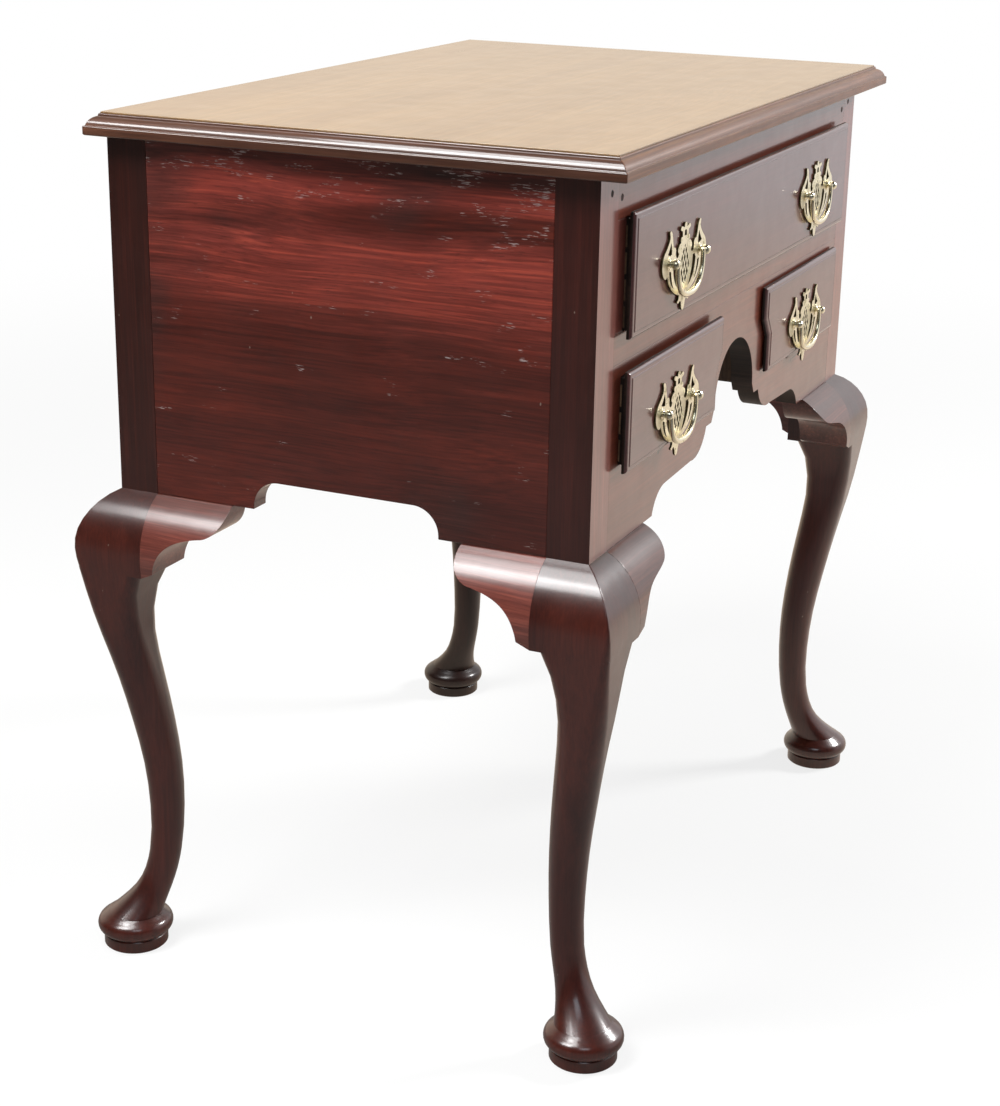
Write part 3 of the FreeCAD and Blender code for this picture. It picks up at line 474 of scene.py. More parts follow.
@dataclass(frozen=True)
class Mahogany(Finish):
    """Old polished mahogany.

    Attributes:
        grain: the way its fibres run.
        deep: its darkest colour.
        body: its main colour.
        glow: the colour of its lit streaks.
        glow_share: how much of it glows, from 0 to 1.
        glow_reach: the heights where the glow begins and is full.
        upper: its main colour from there up, where it changes.
        board: which board it was cut from, as a shift of the pattern.
        sway: how far the grain wanders, in metres.
        dullness: the roughness of the polish.
        nick_share: how nicked it is near its upper edge, from 0 to 1.
        nick_reach: the heights where that begins and is densest.
        nick_front: how nicked it is near its front edge, from 0 to 1.
        front_reach: the depths where the front nicks begin and are densest.
        front_height: the heights where the front nicks begin and are densest.
        scratch_share: how scratched it is.
        smoke: how much of it is smoked dark, from 0 to 1.
        contrast: how strongly its grain shows.
        coat: how thick the polish is, from 0 to 1.
        coat_rough: the polish's own roughness, and coat_index its index of refraction.
        ripple: how wavy the polish is.
        marks: thin dark marks seen from the front, each from a start to an end with a half width.
    """

    slot: Slot = Slot.SHOW_WOOD
    grain: Grain = Grain.ACROSS
    deep: Colour = (0.020, 0.007, 0.005)
    body: Colour = (0.085, 0.024, 0.015)
    glow: Colour = (0.26, 0.060, 0.022)
    glow_share: float = 0.35
    glow_reach: Reach = (0.0, 0.0)
    upper: Colour | None = None
    board: float = 0.0
    sway: float = 0.03
    dullness: float = 0.34
    nick_share: float = 0.0
    nick_reach: Reach = (0.0, 0.0)
    nick_front: float = 0.0
    front_reach: Reach = (-0.06, -0.17)
    front_height: Reach = (0.50, 0.66)
    scratch_share: float = 0.0
    smoke: float = 0.0
    contrast: float = 1.0
    coat: float = 0.85
    coat_rough: float = 0.09
    coat_index: float = 1.5
    ripple: float = 0.6
    marks: tuple[tuple[Point, Point, float], ...] = ()
    body_step = (0.36, 0.60)
    lit_step = (0.42, 0.62)
    unlit = 0.25
    streak_step = (0.52, 0.64)
    smoke_step = (0.52, 0.66)
    full_range = (0.30, 0.70)
    fibre_depth = 0.34
    streak_depth = 0.24
    tone_depth = -0.22
    pore_share = 0.55
    under_shine = 0.35
    relief = (0.10, 0.0004)

    def above(self, graph: Graph, place: Socket, reach: Reach) -> Feed:
        """A share that grows between two heights, or 1 where none are set."""
        return graph.smooth(graph.parts(place)[2], *reach) if any(reach) else 1.0

    def factor(self, graph: Graph, value: Feed, depth: float) -> Socket:
        """A soft noise drawn out to its full range, as a factor about 1."""
        reach = depth * self.contrast
        return graph.spread(graph.smooth(value, *self.full_range), 1.0 - reach, 1.0 + reach)

    def colour(self, graph: Graph, place: Socket, wood: Sockets, age: Sockets) -> Socket:
        """Mix the wood's own colour.

        Args:
            graph: the material's graph.
            place: the object's own coordinates.
            wood: the grain's layers.
            age: the patina's layers.

        Returns:
            The colour.
        """
        high = self.above(graph, place, self.glow_reach)
        body = graph.mix(high, self.body, self.upper) if self.upper else self.body
        figured = graph.mix(graph.smooth(wood["Figure"], *self.body_step), self.deep, body)
        lit = graph.spread(graph.smooth(wood["Figure"], *self.lit_step), self.unlit, 1.0)
        streaked = graph.times(graph.smooth(wood["Streak"], *self.streak_step), lit)
        share = graph.times(graph.times(streaked, high), self.glow_share)
        glowing = graph.mix(share, figured, self.glow)
        smoked = graph.times(graph.smooth(age["Tone"], *self.smoke_step), self.smoke)
        aged = graph.mix(smoked, glowing, SMOKED)
        fine = graph.times(self.factor(graph, wood["Fibre"], self.fibre_depth),
                           self.factor(graph, wood["Streak"], self.streak_depth))
        depth = graph.times(fine, self.factor(graph, age["Tone"], self.tone_depth))
        toned = graph.mix(1.0, aged, graph.joined(depth, depth, depth), "MULTIPLY")
        pores = graph.times(wood["Pore"], self.pore_share * self.contrast)
        return graph.mix(pores, toned, darker(self.deep, 0.4))

    def damage(self, graph: Graph, place: Socket, along: Socket) -> list[tuple[Socket, Damage]]:
        """Find the scratches, nicks and marks.

        Args:
            graph: the material's graph.
            place: the object's own coordinates.
            along: the same with the first along the grain.

        Returns:
            Where each kind of damage is, and what it does.
        """
        found = []
        if self.scratch_share:
            scratches = Scratches.place(graph, Place=place, Share=self.scratch_share)
            found.append((scratches["Mask"], SCRATCHED))
        if self.nick_share:
            dense = self.above(graph, place, self.nick_reach)
            ahead = graph.times(graph.smooth(graph.parts(place)[1], *self.front_reach),
                                self.above(graph, place, self.front_height))
            share = graph.math("ADD", graph.times(dense, self.nick_share),
                               graph.times(ahead, self.nick_front))
            found.append((Nicks.place(graph, Place=along, Share=share)["Mask"], NICKED))
        flat = graph.vector("MULTIPLY", place, (1.0, 0.0, 1.0))
        for start, end, width in self.marks:
            mark = Mark.place(graph, Place=flat, Start=start, End=end, Width=width)
            found.append((mark["Mask"], MARKED))
        return found

    def surface(self, graph: Graph, place: Socket) -> dict[str, Feed]:
        """Grain and patina, then the damage, which shows in the colour and in the relief.

        Args:
            graph: the material's graph.
            place: the object's own coordinates.

        Returns:
            What goes into the shader.
        """
        along = graph.along(place, self.grain)
        wood = WoodGrain.place(graph, Place=along, Board=self.board, Sway=self.sway)
        age = Patina.place(graph, Place=place)
        colour = self.colour(graph, place, wood, age)
        fibres = graph.times(wood["Fibre"], self.contrast)
        height = graph.math("ADD", graph.times(age["Ripple"], self.ripple), fibres)
        for mask, (share, tint, depth) in self.damage(graph, place, along):
            colour = graph.mix(graph.times(mask, share), colour, tint)
            height = graph.math("SUBTRACT", height, graph.times(mask, depth))
        rough = graph.spread(age["Dullness"], self.dullness - 0.10, self.dullness + 0.12)
        return {"Base Color": colour, "Roughness": rough, "Specular IOR Level": self.under_shine,
                "Normal": graph.bump(height, *self.relief), "Coat Weight": self.coat,
                "Coat Roughness": self.coat_rough, "Coat IOR": self.coat_index}


@dataclass(frozen=True)
class RubbedArris(Finish):
    """A corner of the wood where hands and cloths have rubbed the polish thin, in places.

    Attributes:
        worn: the colour of the rubbed wood.
        kept: the colour where the polish is whole; for the quirk it is made dark, as painted shade
            along the steps and lips.
        share: how much of the arris is rubbed, from 0 to 1.
    """

    slot: Slot = Slot.SHOW_WOOD
    worn: Colour = (0.20, 0.085, 0.050)
    kept: Colour = (0.040, 0.014, 0.010)
    share: float = 0.5
    patches = (24.0, 3.0)
    rags = (300.0, 2.0)

    def surface(self, graph: Graph, place: Socket) -> dict[str, Feed]:
        """Broad patches with ragged edges.

        Args:
            graph: the material's graph.
            place: the object's own coordinates.

        Returns:
            What goes into the shader.
        """
        broad = graph.times(graph.noise(place, *self.patches), 0.7)
        mixed = graph.math("ADD", broad, graph.times(graph.noise(place, *self.rags), 0.3))
        middle = 0.66 - 0.32 * self.share
        rubbed = graph.smooth(mixed, middle - 0.06, middle + 0.08)
        return {"Base Color": graph.mix(rubbed, self.kept, self.worn),
                "Roughness": graph.spread(rubbed, 0.28, 0.46),
                "Coat Weight": 0.5, "Coat Roughness": 0.2}


@dataclass(frozen=True)
class PlainWood(Finish):
    """Unpolished inner wood, darkened by age and dust.

    Attributes:
        grain: the way its fibres run.
        pale: its lighter colour.
        dark: its darker colour.
        board: which board it was cut from.
    """

    slot: Slot = Slot.INNER_WOOD
    grain: Grain = Grain.ACROSS
    pale: Colour = (0.25, 0.145, 0.082)
    dark: Colour = (0.11, 0.055, 0.030)
    board: float = 0.0
    ring_step = (0.55, 0.95)
    dirt_step = (0.62, 0.40)
    relief = (0.25, 0.0005)

    def surface(self, graph: Graph, place: Socket) -> dict[str, Feed]:
        """Rings, then dirt, then pores.

        Args:
            graph: the material's graph.
            place: the object's own coordinates.

        Returns:
            What goes into the shader.
        """
        along = graph.along(place, self.grain)
        wood = WoodGrain.place(graph, Place=along, Board=self.board, Sway=0.05)
        age = Patina.place(graph, Place=place)
        rings = graph.math("ADD", wood["Figure"], graph.times(wood["Streak"], 0.5))
        clean = graph.mix(graph.smooth(rings, *self.ring_step), self.dark, self.pale)
        dirt = graph.times(graph.smooth(age["Tone"], *self.dirt_step), 0.45)
        dirty = graph.mix(dirt, clean, darker(self.dark, 0.5))
        colour = graph.mix(graph.times(wood["Pore"], 0.5), dirty, darker(self.dark, 0.4))
        return {"Base Color": colour, "Roughness": graph.spread(age["Dullness"], 0.62, 0.82),
                "Normal": graph.bump(wood["Fibre"], *self.relief), "Specular IOR Level": 0.3}


@dataclass(frozen=True)
class CastMetal(Finish):
    """Cast metal, bright where it is handled and dull in its hollows.

    Attributes:
        bright: the colour of the handled metal.
        dull: the colour where it has tarnished.
        tarnish: how much of it is tarnished, from 0 to 1.
        polish: its lowest roughness.
    """

    slot: Slot = Slot.BRASS
    bright: Colour = (0.94, 0.87, 0.66)
    dull: Colour = (0.33, 0.28, 0.13)
    tarnish: float = 0.35
    polish: float = 0.18
    finer = (3.0, 3.0, 3.0)
    pitting = (900.0, 3.0)
    relief = (0.22, 0.0003)

    def surface(self, graph: Graph, place: Socket) -> dict[str, Feed]:
        """Stains with fine pits.

        Args:
            graph: the material's graph.
            place: the object's own coordinates.

        Returns:
            What goes into the shader.
        """
        age = Patina.place(graph, Place=graph.vector("MULTIPLY", place, self.finer))
        pits = graph.noise(place, *self.pitting)
        worn = graph.math("ADD", graph.times(age["Dullness"], 0.6), graph.times(pits, 0.4))
        middle = 0.68 - 0.36 * self.tarnish
        stained = graph.smooth(worn, middle - 0.08, middle + 0.12)
        return {"Base Color": graph.mix(stained, self.bright, self.dull),
                "Roughness": graph.spread(stained, self.polish, self.polish + 0.24),
                "Normal": graph.bump(pits, *self.relief), "Metallic": 1.0}


# ---- bench work
def put_down() -> None:
    """Deselect everything, so that an operator acts only on what is picked next."""
    if bpy.context.object and bpy.context.object.mode != "OBJECT":
        bpy.ops.object.mode_set(mode="OBJECT")
    bpy.ops.object.select_all(action="DESELECT")


def pick_up(piece: Piece) -> None:
    """Make a piece the only selected one, and the active one.

    Args:
        piece: the piece.
    """
    put_down()
    piece.select_set(True)
    bpy.context.view_layer.objects.active = piece


def settle(piece: Piece) -> Piece:
    """Move a piece's place, turn and size into its mesh, which leaves its object at the origin.

    Args:
        piece: the piece.

    Returns:
        The same piece.
    """
    pick_up(piece)
    bpy.ops.object.transform_apply(location=True, rotation=True, scale=True)
    return piece


def join(pieces: list[Piece]) -> Piece:
    """Join several pieces.

    Args:
        pieces: the pieces.

    Returns:
        The first of them, which takes in the others.
    """
    pick_up(pieces[0])
    for piece in pieces:
        piece.select_set(True)
    bpy.ops.object.join()
    return pieces[0]


def repeat(pattern: Piece, places: list[Vector], name: str) -> Piece:
    """Put a copy of a pattern at each place.

    Args:
        pattern: what is repeated, modelled at the origin.  It is used up.
        places: where the copies go.
        name: the new piece's name.

    Returns:
        The copies as one piece.
    """
    copies = []
    for place in places:
        copy = bpy.data.objects.new(name, pattern.data.copy())
        copy.location = place
        bpy.context.scene.collection.objects.link(copy)
        copies.append(settle(copy))
    bpy.data.objects.remove(pattern)
    return join(copies)


@contextmanager
def editing(piece: Piece) -> Iterator[None]:
    """Keep one piece in edit mode for a while.

    Args:
        piece: the piece.

    Yields:
        Nothing, once the piece is in edit mode.
    """
    pick_up(piece)
    bpy.ops.object.mode_set(mode="EDIT")
    yield
    bpy.ops.object.mode_set(mode="OBJECT")


def facing(way: Vector, limit: float) -> Test:
    """A test of faces: whether the normal's part along a way is over a limit."""
    return lambda centre, normal: way.dot(normal) > limit


def pick_faces(piece: Piece, test: Test) -> None:
    """In edit mode, select the faces that pass a test.

    Args:
        piece: the piece being edited.
        test: a function of a face's centre and normal.
    """
    bpy.ops.mesh.select_mode(type="FACE")
    bpy.ops.mesh.select_all(action="DESELECT")
    for face in bmesh.from_edit_mesh(piece.data).faces:
        face.select_set(bool(test(face.calc_center_median(), face.normal)))
    bmesh.update_edit_mesh(piece.data)


def modify(piece: Piece, name: str, kind: str, **settings: object) -> None:
    """Add a modifier to the active piece and apply it.

    Args:
        piece: the active piece.
        name: the modifier's name.
        kind: the modifier's type.
        **settings: its properties.
    """
    modifier = piece.modifiers.new(name, kind)
    for key, value in settings.items():
        setattr(modifier, key, value)
    bpy.ops.object.modifier_apply(modifier=name)


@dataclass
class Worked:
    """How a node's copy is worked: its arrises are rounded and its curves shaded smooth.

    Attributes:
        arris: the width of the rounding, in metres.
        sharp: the angle in degrees from which an edge counts as an arris.
        smooth: the angle in degrees up to which faces are shaded as one curve.
        clamped: whether a rounding narrows where edges lie close together.
        merged: the distance under which the loose triangles' corners are one.
        flat: the angle in degrees under which faces are one.
    """

    arris: float
    sharp: float = 34.0
    smooth: float = 30.0
    clamped: bool = False
    merged: float = 2e-6
    flat: float = 0.4

    def copy(self, node: str) -> Piece:
        """Copy a node, merge its loose triangles and round its arrises.

        Args:
            node: the node's name.

        Returns:
            The worked piece, in the node's place and on its body.
        """
        source = frame["nodes"][node]
        piece = bpy.data.objects.new(node + "_worked", source.data.copy())
        bpy.context.scene.collection.objects.link(piece)
        piece.data.materials.clear()
        with editing(piece):
            bpy.ops.mesh.select_all(action="SELECT")
            bpy.ops.mesh.remove_doubles(threshold=self.merged)
            bpy.ops.mesh.dissolve_limited(angle_limit=math.radians(self.flat))
        if self.arris:
            modify(piece, "arris", "BEVEL", width=self.arris, segments=2, limit_method="ANGLE",
                   angle_limit=math.radians(self.sharp), material=1, use_clamp_overlap=self.clamped)
        bpy.ops.object.shade_smooth_by_angle(angle=math.radians(self.smooth))
        modify(piece, "even shading", "WEIGHTED_NORMAL", keep_sharp=True)
        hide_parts(node)
        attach(piece, source["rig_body"])
        return piece


# ---- the lowboy
@dataclass
class Finishes:
    """Every finish of the lowboy, each built once."""

    side: Mahogany = Mahogany(
        "mahogany_side", grain=Grain.DEEP, deep=(0.048, 0.006, 0.003), body=(0.074, 0.009, 0.004),
        upper=(0.190, 0.028, 0.019), glow=(0.36, 0.055, 0.026), glow_share=0.32,
        glow_reach=(0.53, 0.68), board=2.3, sway=0.04, nick_share=0.44, nick_reach=(0.655, 0.71),
        nick_front=0.30, scratch_share=0.3, smoke=0.45, contrast=0.65)
    post: Mahogany = Mahogany(
        "mahogany_leg", grain=Grain.UPRIGHT, deep=(0.034, 0.006, 0.004), body=(0.054, 0.009, 0.005),
        upper=(0.027, 0.005, 0.003), glow=(0.14, 0.020, 0.008), glow_share=0.1,
        glow_reach=(0.38, 0.44), board=5.1, sway=0.02, scratch_share=0.6, contrast=0.4,
        coat_rough=0.17, ripple=6.0)
    # painted shade: the back right leg, which stands in the case's shadow, gets a darker copy of the
    # leg's colour with less polish
    shaded_far_post: Mahogany = replace(
        post, name="mahogany_far_leg_painted_shade", deep=(0.012, 0.004, 0.003), body=(0.020, 0.006, 0.004),
        coat=0.3)
    block: Mahogany = Mahogany(
        "mahogany_knee_block", grain=Grain.DEEP, deep=(0.085, 0.022, 0.015),
        body=(0.135, 0.032, 0.023), glow=(0.24, 0.060, 0.038), board=7.7, scratch_share=0.6,
        contrast=0.5, coat=0.9, coat_rough=0.22, ripple=8.0)
    block_front: Mahogany = Mahogany(
        "mahogany_front_knee_block", deep=(0.060, 0.017, 0.011), body=(0.100, 0.028, 0.018),
        glow=(0.20, 0.060, 0.036), glow_share=0.3, board=8.3, scratch_share=0.5, contrast=0.5,
        coat_rough=0.18, ripple=6.0)
    rail: Mahogany = Mahogany(
        "mahogany_rail", deep=(0.100, 0.022, 0.011), body=(0.135, 0.030, 0.016),
        glow=(0.18, 0.045, 0.025), glow_share=0.4, board=1.1, sway=0.015, contrast=0.3, coat=1.0,
        coat_rough=0.13, coat_index=1.65, marks=MARKS)
    stile: Mahogany = Mahogany(
        "mahogany_stile", grain=Grain.UPRIGHT, deep=(0.130, 0.036, 0.026),
        body=(0.170, 0.046, 0.034), glow=(0.22, 0.065, 0.046), glow_share=0.4, board=3.9,
        sway=0.015, contrast=0.3, coat=1.0, coat_rough=0.13, coat_index=1.65)
    drawer: Mahogany = Mahogany(
        "mahogany_drawer_front", deep=(0.072, 0.017, 0.016), body=(0.090, 0.022, 0.020),
        glow=(0.11, 0.028, 0.024), board=9.4, sway=0.02, contrast=0.2, coat=1.0, coat_rough=0.13,
        coat_index=1.85)
    top: Mahogany = Mahogany(
        "mahogany_top", deep=(0.225, 0.126, 0.052), body=(0.255, 0.148, 0.063),
        glow=(0.290, 0.172, 0.076), glow_share=0.5, board=4.4, sway=0.04, dullness=0.40,
        contrast=0.22)
    edge: Mahogany = Mahogany(
        "mahogany_moulding", deep=(0.090, 0.032, 0.012), body=(0.130, 0.048, 0.018),
        glow=(0.18, 0.068, 0.026), glow_share=0.4, board=6.2, sway=0.01, contrast=0.45, coat=0.3,
        coat_rough=0.12)
    edge_deep: Mahogany = Mahogany(
        "mahogany_moulding_ends", grain=Grain.DEEP, deep=(0.060, 0.022, 0.012),
        body=(0.100, 0.038, 0.021), glow=(0.17, 0.070, 0.036), glow_share=0.4, board=6.9, sway=0.01,
        contrast=0.5, coat=0.9)
    # painted shade: faces that do not look forward, the lips' edges, the rails' edges and the arch's
    # inside, are made dark for the shade in the gaps, over end grain's own darker tone
    end_grain_and_shade: Mahogany = Mahogany(
        "mahogany_dark_edges_and_shade", grain=Grain.DEEP, deep=(0.012, 0.006, 0.004),
        body=(0.028, 0.014, 0.008), glow=(0.04, 0.020, 0.011), glow_share=0.2, board=0.9,
        dullness=0.6, contrast=0.5, coat=0.08)
    peg: Mahogany = Mahogany(
        "mahogany_peg", grain=Grain.DEEP, deep=(0.012, 0.005, 0.004), body=(0.030, 0.012, 0.009),
        glow=(0.04, 0.015, 0.010), glow_share=0.2, board=0.4, dullness=0.7, coat=0.0)
    arris: RubbedArris = RubbedArris("rubbed_arris")
    # painted shade: the dark kept colour stands for the shade along the quirks, steps and lips, with
    # rubbed wear in patches
    quirk: RubbedArris = RubbedArris(
        "dark_arris_painted_shade", worn=(0.10, 0.040, 0.025), kept=(0.016, 0.006, 0.004), share=0.25)
    joint: RubbedArris = RubbedArris(
        "joint_line", worn=(0.26, 0.15, 0.10), kept=(0.10, 0.045, 0.030), share=0.7)
    lining: PlainWood = PlainWood("oak_lining_ends", grain=Grain.DEEP, board=1.7)
    lining_wide: PlainWood = PlainWood("oak_lining_boards", board=3.1)
    # painted shade: the pine inside the case and the partitions in the kneehole are darker than the
    # back board's pine, for the shade they stand in
    carcass: PlainWood = PlainWood(
        "pine_inside_painted_shade", grain=Grain.DEEP, pale=(0.10, 0.052, 0.028), dark=(0.038, 0.019, 0.011))
    carcass_wide: PlainWood = PlainWood(
        "pine_boards", pale=(0.21, 0.112, 0.062), dark=(0.09, 0.042, 0.024), board=2.9)
    carcass_upright: PlainWood = PlainWood(
        "pine_uprights_painted_shade", grain=Grain.UPRIGHT, pale=(0.075, 0.040, 0.022),
        dark=(0.028, 0.014, 0.008), board=5.5)
    plate: CastMetal = CastMetal("brass_plate", tarnish=0.30, polish=0.34)
    post_metal: CastMetal = CastMetal("brass_post", tarnish=0.22, polish=0.20)
    bail: CastMetal = replace(post_metal, name="brass_bail")
    # painted shade: the walls of the piercings and the plate's back are dark brass so the openings
    # read dark, with tarnish
    cut: CastMetal = CastMetal(
        "brass_cuts_painted_shade", bright=(0.20, 0.165, 0.075), dull=(0.07, 0.055, 0.025), tarnish=0.5,
        polish=0.45)
    iron: CastMetal = CastMetal(
        "iron", Slot.INNER_WOOD, bright=(0.12, 0.10, 0.09), dull=(0.055, 0.035, 0.028), tarnish=0.6,
        polish=0.45)
    made: dict[str, bpy.types.Material] = field(default_factory=dict)

    def of(self, finish: Finish) -> bpy.types.Material:
        """Build a finish's material at its first use.

        Args:
            finish: the finish.

        Returns:
            Its material.
        """
        if finish.name not in self.made:
            self.made[finish.name] = finish.material()
        return self.made[finish.name]

    def put_on(self, piece: Piece, *finishes: Finish) -> Piece:
        """Dress a piece.

        Args:
            piece: the piece.
            *finishes: its finishes, in the order of its faces' material numbers.

        Returns:
            The same piece.
        """
        worn = piece.data.materials
        for index, finish in enumerate(finishes):
            if index < len(worn):
                worn[index] = self.of(finish)
            else:
                worn.append(self.of(finish))
        return piece

    def put_on_node(self, node: str, finish: Finish) -> None:
        """Dress a node of the model as it is."""
        self.put_on(frame["nodes"][node], finish)

    def put_on_faces(self, piece: Piece, finish: Finish, test: Test) -> None:
        """Give a finish to the faces of a dressed piece that pass a test.

        Args:
            piece: the piece.
            finish: what those faces get.
            test: a function of a face's centre and normal.
        """
        piece.data.materials.append(self.of(finish))
        with editing(piece):
            pick_faces(piece, test)
            piece.active_material_index = len(piece.data.materials) - 1
            bpy.ops.object.material_slot_assign()


@dataclass
class Case:
    """The case: posts with their legs, panels, rails, apron and the inner framing.

    Attributes:
        kit: the lowboy's finishes.
        seam: how round the arrises are, which mostly meet another piece flush.
        side_arris: how round the sides' are, which stand a little open at the posts.
        sawn_and_shaded: how far to the back a face of a rail has to look to be left dark, which
            paints the shade of the gaps over the end grain's own darker tone.
    """

    kit: Finishes
    seam: float = 0.0003
    side_arris: float = 0.0008
    sawn_and_shaded: float = -0.3

    def show(self, node: str, finish: Finish, edge: Finish, **way: float) -> Piece:
        """Work and dress one show piece.

        Args:
            node: its name.
            finish: its finish.
            edge: the finish of its arrises.
            **way: how it is worked, where that differs.

        Returns:
            The piece.
        """
        piece = Worked(**{"arris": self.seam, **way}).copy(node)
        return self.kit.put_on(piece, finish, edge)

    def leg(self, face: str, end: str) -> None:
        """Work one leg.  The front of a front leg's post gets the stile's lighter colour, as painted
        light for the glare that face catches.

        Args:
            face: front or back.
            end: left or right.
        """
        kit = self.kit
        # painted shade: the back right leg wears the darker copy of the leg's finish
        wood = kit.shaded_far_post if (face, end) == ("back", "right") else kit.post
        piece = self.show(f"leg_{face}_{end}", wood, kit.joint, clamped=True)
        if face == "front":
            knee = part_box("side_panel_left")[0].z
            # painted light: the post's front face above the knee takes the stile's lighter finish
            kit.put_on_faces(piece, kit.stile,
                             lambda centre, normal: normal.y < -0.99 and centre.z > knee)

    def build(self) -> None:
        """Dress the whole case."""
        kit = self.kit
        for end in ("left", "right"):
            self.show(f"side_panel_{end}", kit.side, kit.joint, arris=self.side_arris)
            self.show(f"front_stile_{end}", kit.stile, kit.arris)
            self.show(f"knee_block_front_{end}", kit.block_front, kit.joint)
            kit.put_on_node(f"partition_{end}", kit.carcass_upright)
            kit.put_on_node(f"long_drawer_runner_{end}", kit.carcass)
            kit.put_on_node(f"short_drawer_runners_{end}", kit.carcass)
            for face in ("front", "back"):
                self.leg(face, end)
                self.show(f"knee_block_side_{face}_{end}", kit.block, kit.joint)
        for node in ("top_rail", "middle_rail", "apron"):
            piece = self.show(node, kit.rail, kit.quirk)
            # painted shade: the rail's faces that do not look forward are left dark
            kit.put_on_faces(piece, kit.end_grain_and_shade, facing(BACK, self.sawn_and_shaded))
        self.show("back_board", kit.carcass_wide, kit.arris)
        for node in ("kickers", "glue_blocks"):
            kit.put_on_node(node, kit.carcass)
        kit.put_on_node("pegs", kit.peg)


@dataclass
class Top:
    """The top board and its mitred moulding.

    Attributes:
        kit: the lowboy's finishes.
        arris: how round its arrises are.
    """

    kit: Finishes
    arris: float = 0.0005

    def build(self) -> None:
        """Work and dress the five pieces."""
        kit = self.kit
        wood = {"top_board": kit.top, "top_moulding_front": kit.edge, "top_moulding_back": kit.edge,
                "top_moulding_left": kit.edge_deep, "top_moulding_right": kit.edge_deep}
        for node, finish in wood.items():
            kit.put_on(Worked(arris=self.arris).copy(node), finish, kit.quirk)


@dataclass
class Drawer:
    """One drawer: a moulded front, lining boards, and the nails that hold its bottom.

    Attributes:
        name: the drawer's name in the model.
        kit: the lowboy's finishes.
        board: which board its front was cut from.
        arris: how round its front's arrises are.
        sawn_and_shaded: how far to the back a face of the front has to look to be left dark, which
            paints the shade round the lip over the end grain's own darker tone.
        nail_pitch: how far apart the bottom's nails stand.
        nail_head: the radius of a nail's head, and nail_rim how thick its rim is.
        nail_steps: how far each of the two steps of its point goes down.
        nail_margin: how far the outer nails stand in from the drawer's sides.
        nail_inset: how far the nails stand in from the back board's outer face.
    """

    name: str
    kit: Finishes
    board: float
    arris: float = 0.0005
    sawn_and_shaded: float = -0.3
    nail_pitch: float = 0.085
    nail_head: float = 0.0032
    nail_rim: float = 0.0008
    nail_steps: Reach = (0.0003, 0.0004)
    nail_margin: float = 0.02
    nail_inset: float = 0.0045

    def boards(self) -> None:
        """Work the front, and dress the sides, back and bottom as they are."""
        kit = self.kit
        finish = replace(kit.drawer, name=f"mahogany_{self.name}", board=self.board)
        piece = Worked(arris=self.arris).copy(f"{self.name}_front")
        kit.put_on(piece, finish, kit.quirk)
        # painted shade: the front's lip edges and back are left dark
        kit.put_on_faces(piece, kit.end_grain_and_shade, facing(BACK, self.sawn_and_shaded))
        for part, lining in (("side_left", kit.lining), ("side_right", kit.lining),
                             ("back", kit.lining_wide), ("bottom", kit.lining_wide)):
            kit.put_on_node(f"{self.name}_{part}", lining)

    def nail(self) -> Piece:
        """Model one hand-made nail's head, drawn down to a point.

        Returns:
            The head, with its flat side at the origin.
        """
        put_down()
        bpy.ops.mesh.primitive_cylinder_add(vertices=8, radius=self.nail_head, depth=self.nail_rim,
                                            location=(0.0, 0.0, -self.nail_rim / 2))
        head = settle(bpy.context.object)
        with editing(head):
            pick_faces(head, facing(DOWN, 0.9))
            for step in self.nail_steps:
                bpy.ops.mesh.inset(thickness=0.35 * self.nail_head, depth=step)
        return head

    def nails(self) -> None:
        """Set the row of nails under the back edge of the bottom."""
        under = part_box(f"{self.name}_bottom")[0].z
        low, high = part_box(f"{self.name}_back")
        start, span = low.x + self.nail_margin, high.x - low.x - 2 * self.nail_margin
        gaps = max(1, round(span / self.nail_pitch))
        places = [Vector((start + span * index / gaps, high.y - self.nail_inset, under))
                  for index in range(gaps + 1)]
        piece = repeat(self.nail(), places, f"{self.name}_nails")
        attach(piece, self.name)
        self.kit.put_on(piece, self.kit.iron)

    def build(self) -> None:
        """Build the whole drawer."""
        self.boards()
        self.nails()


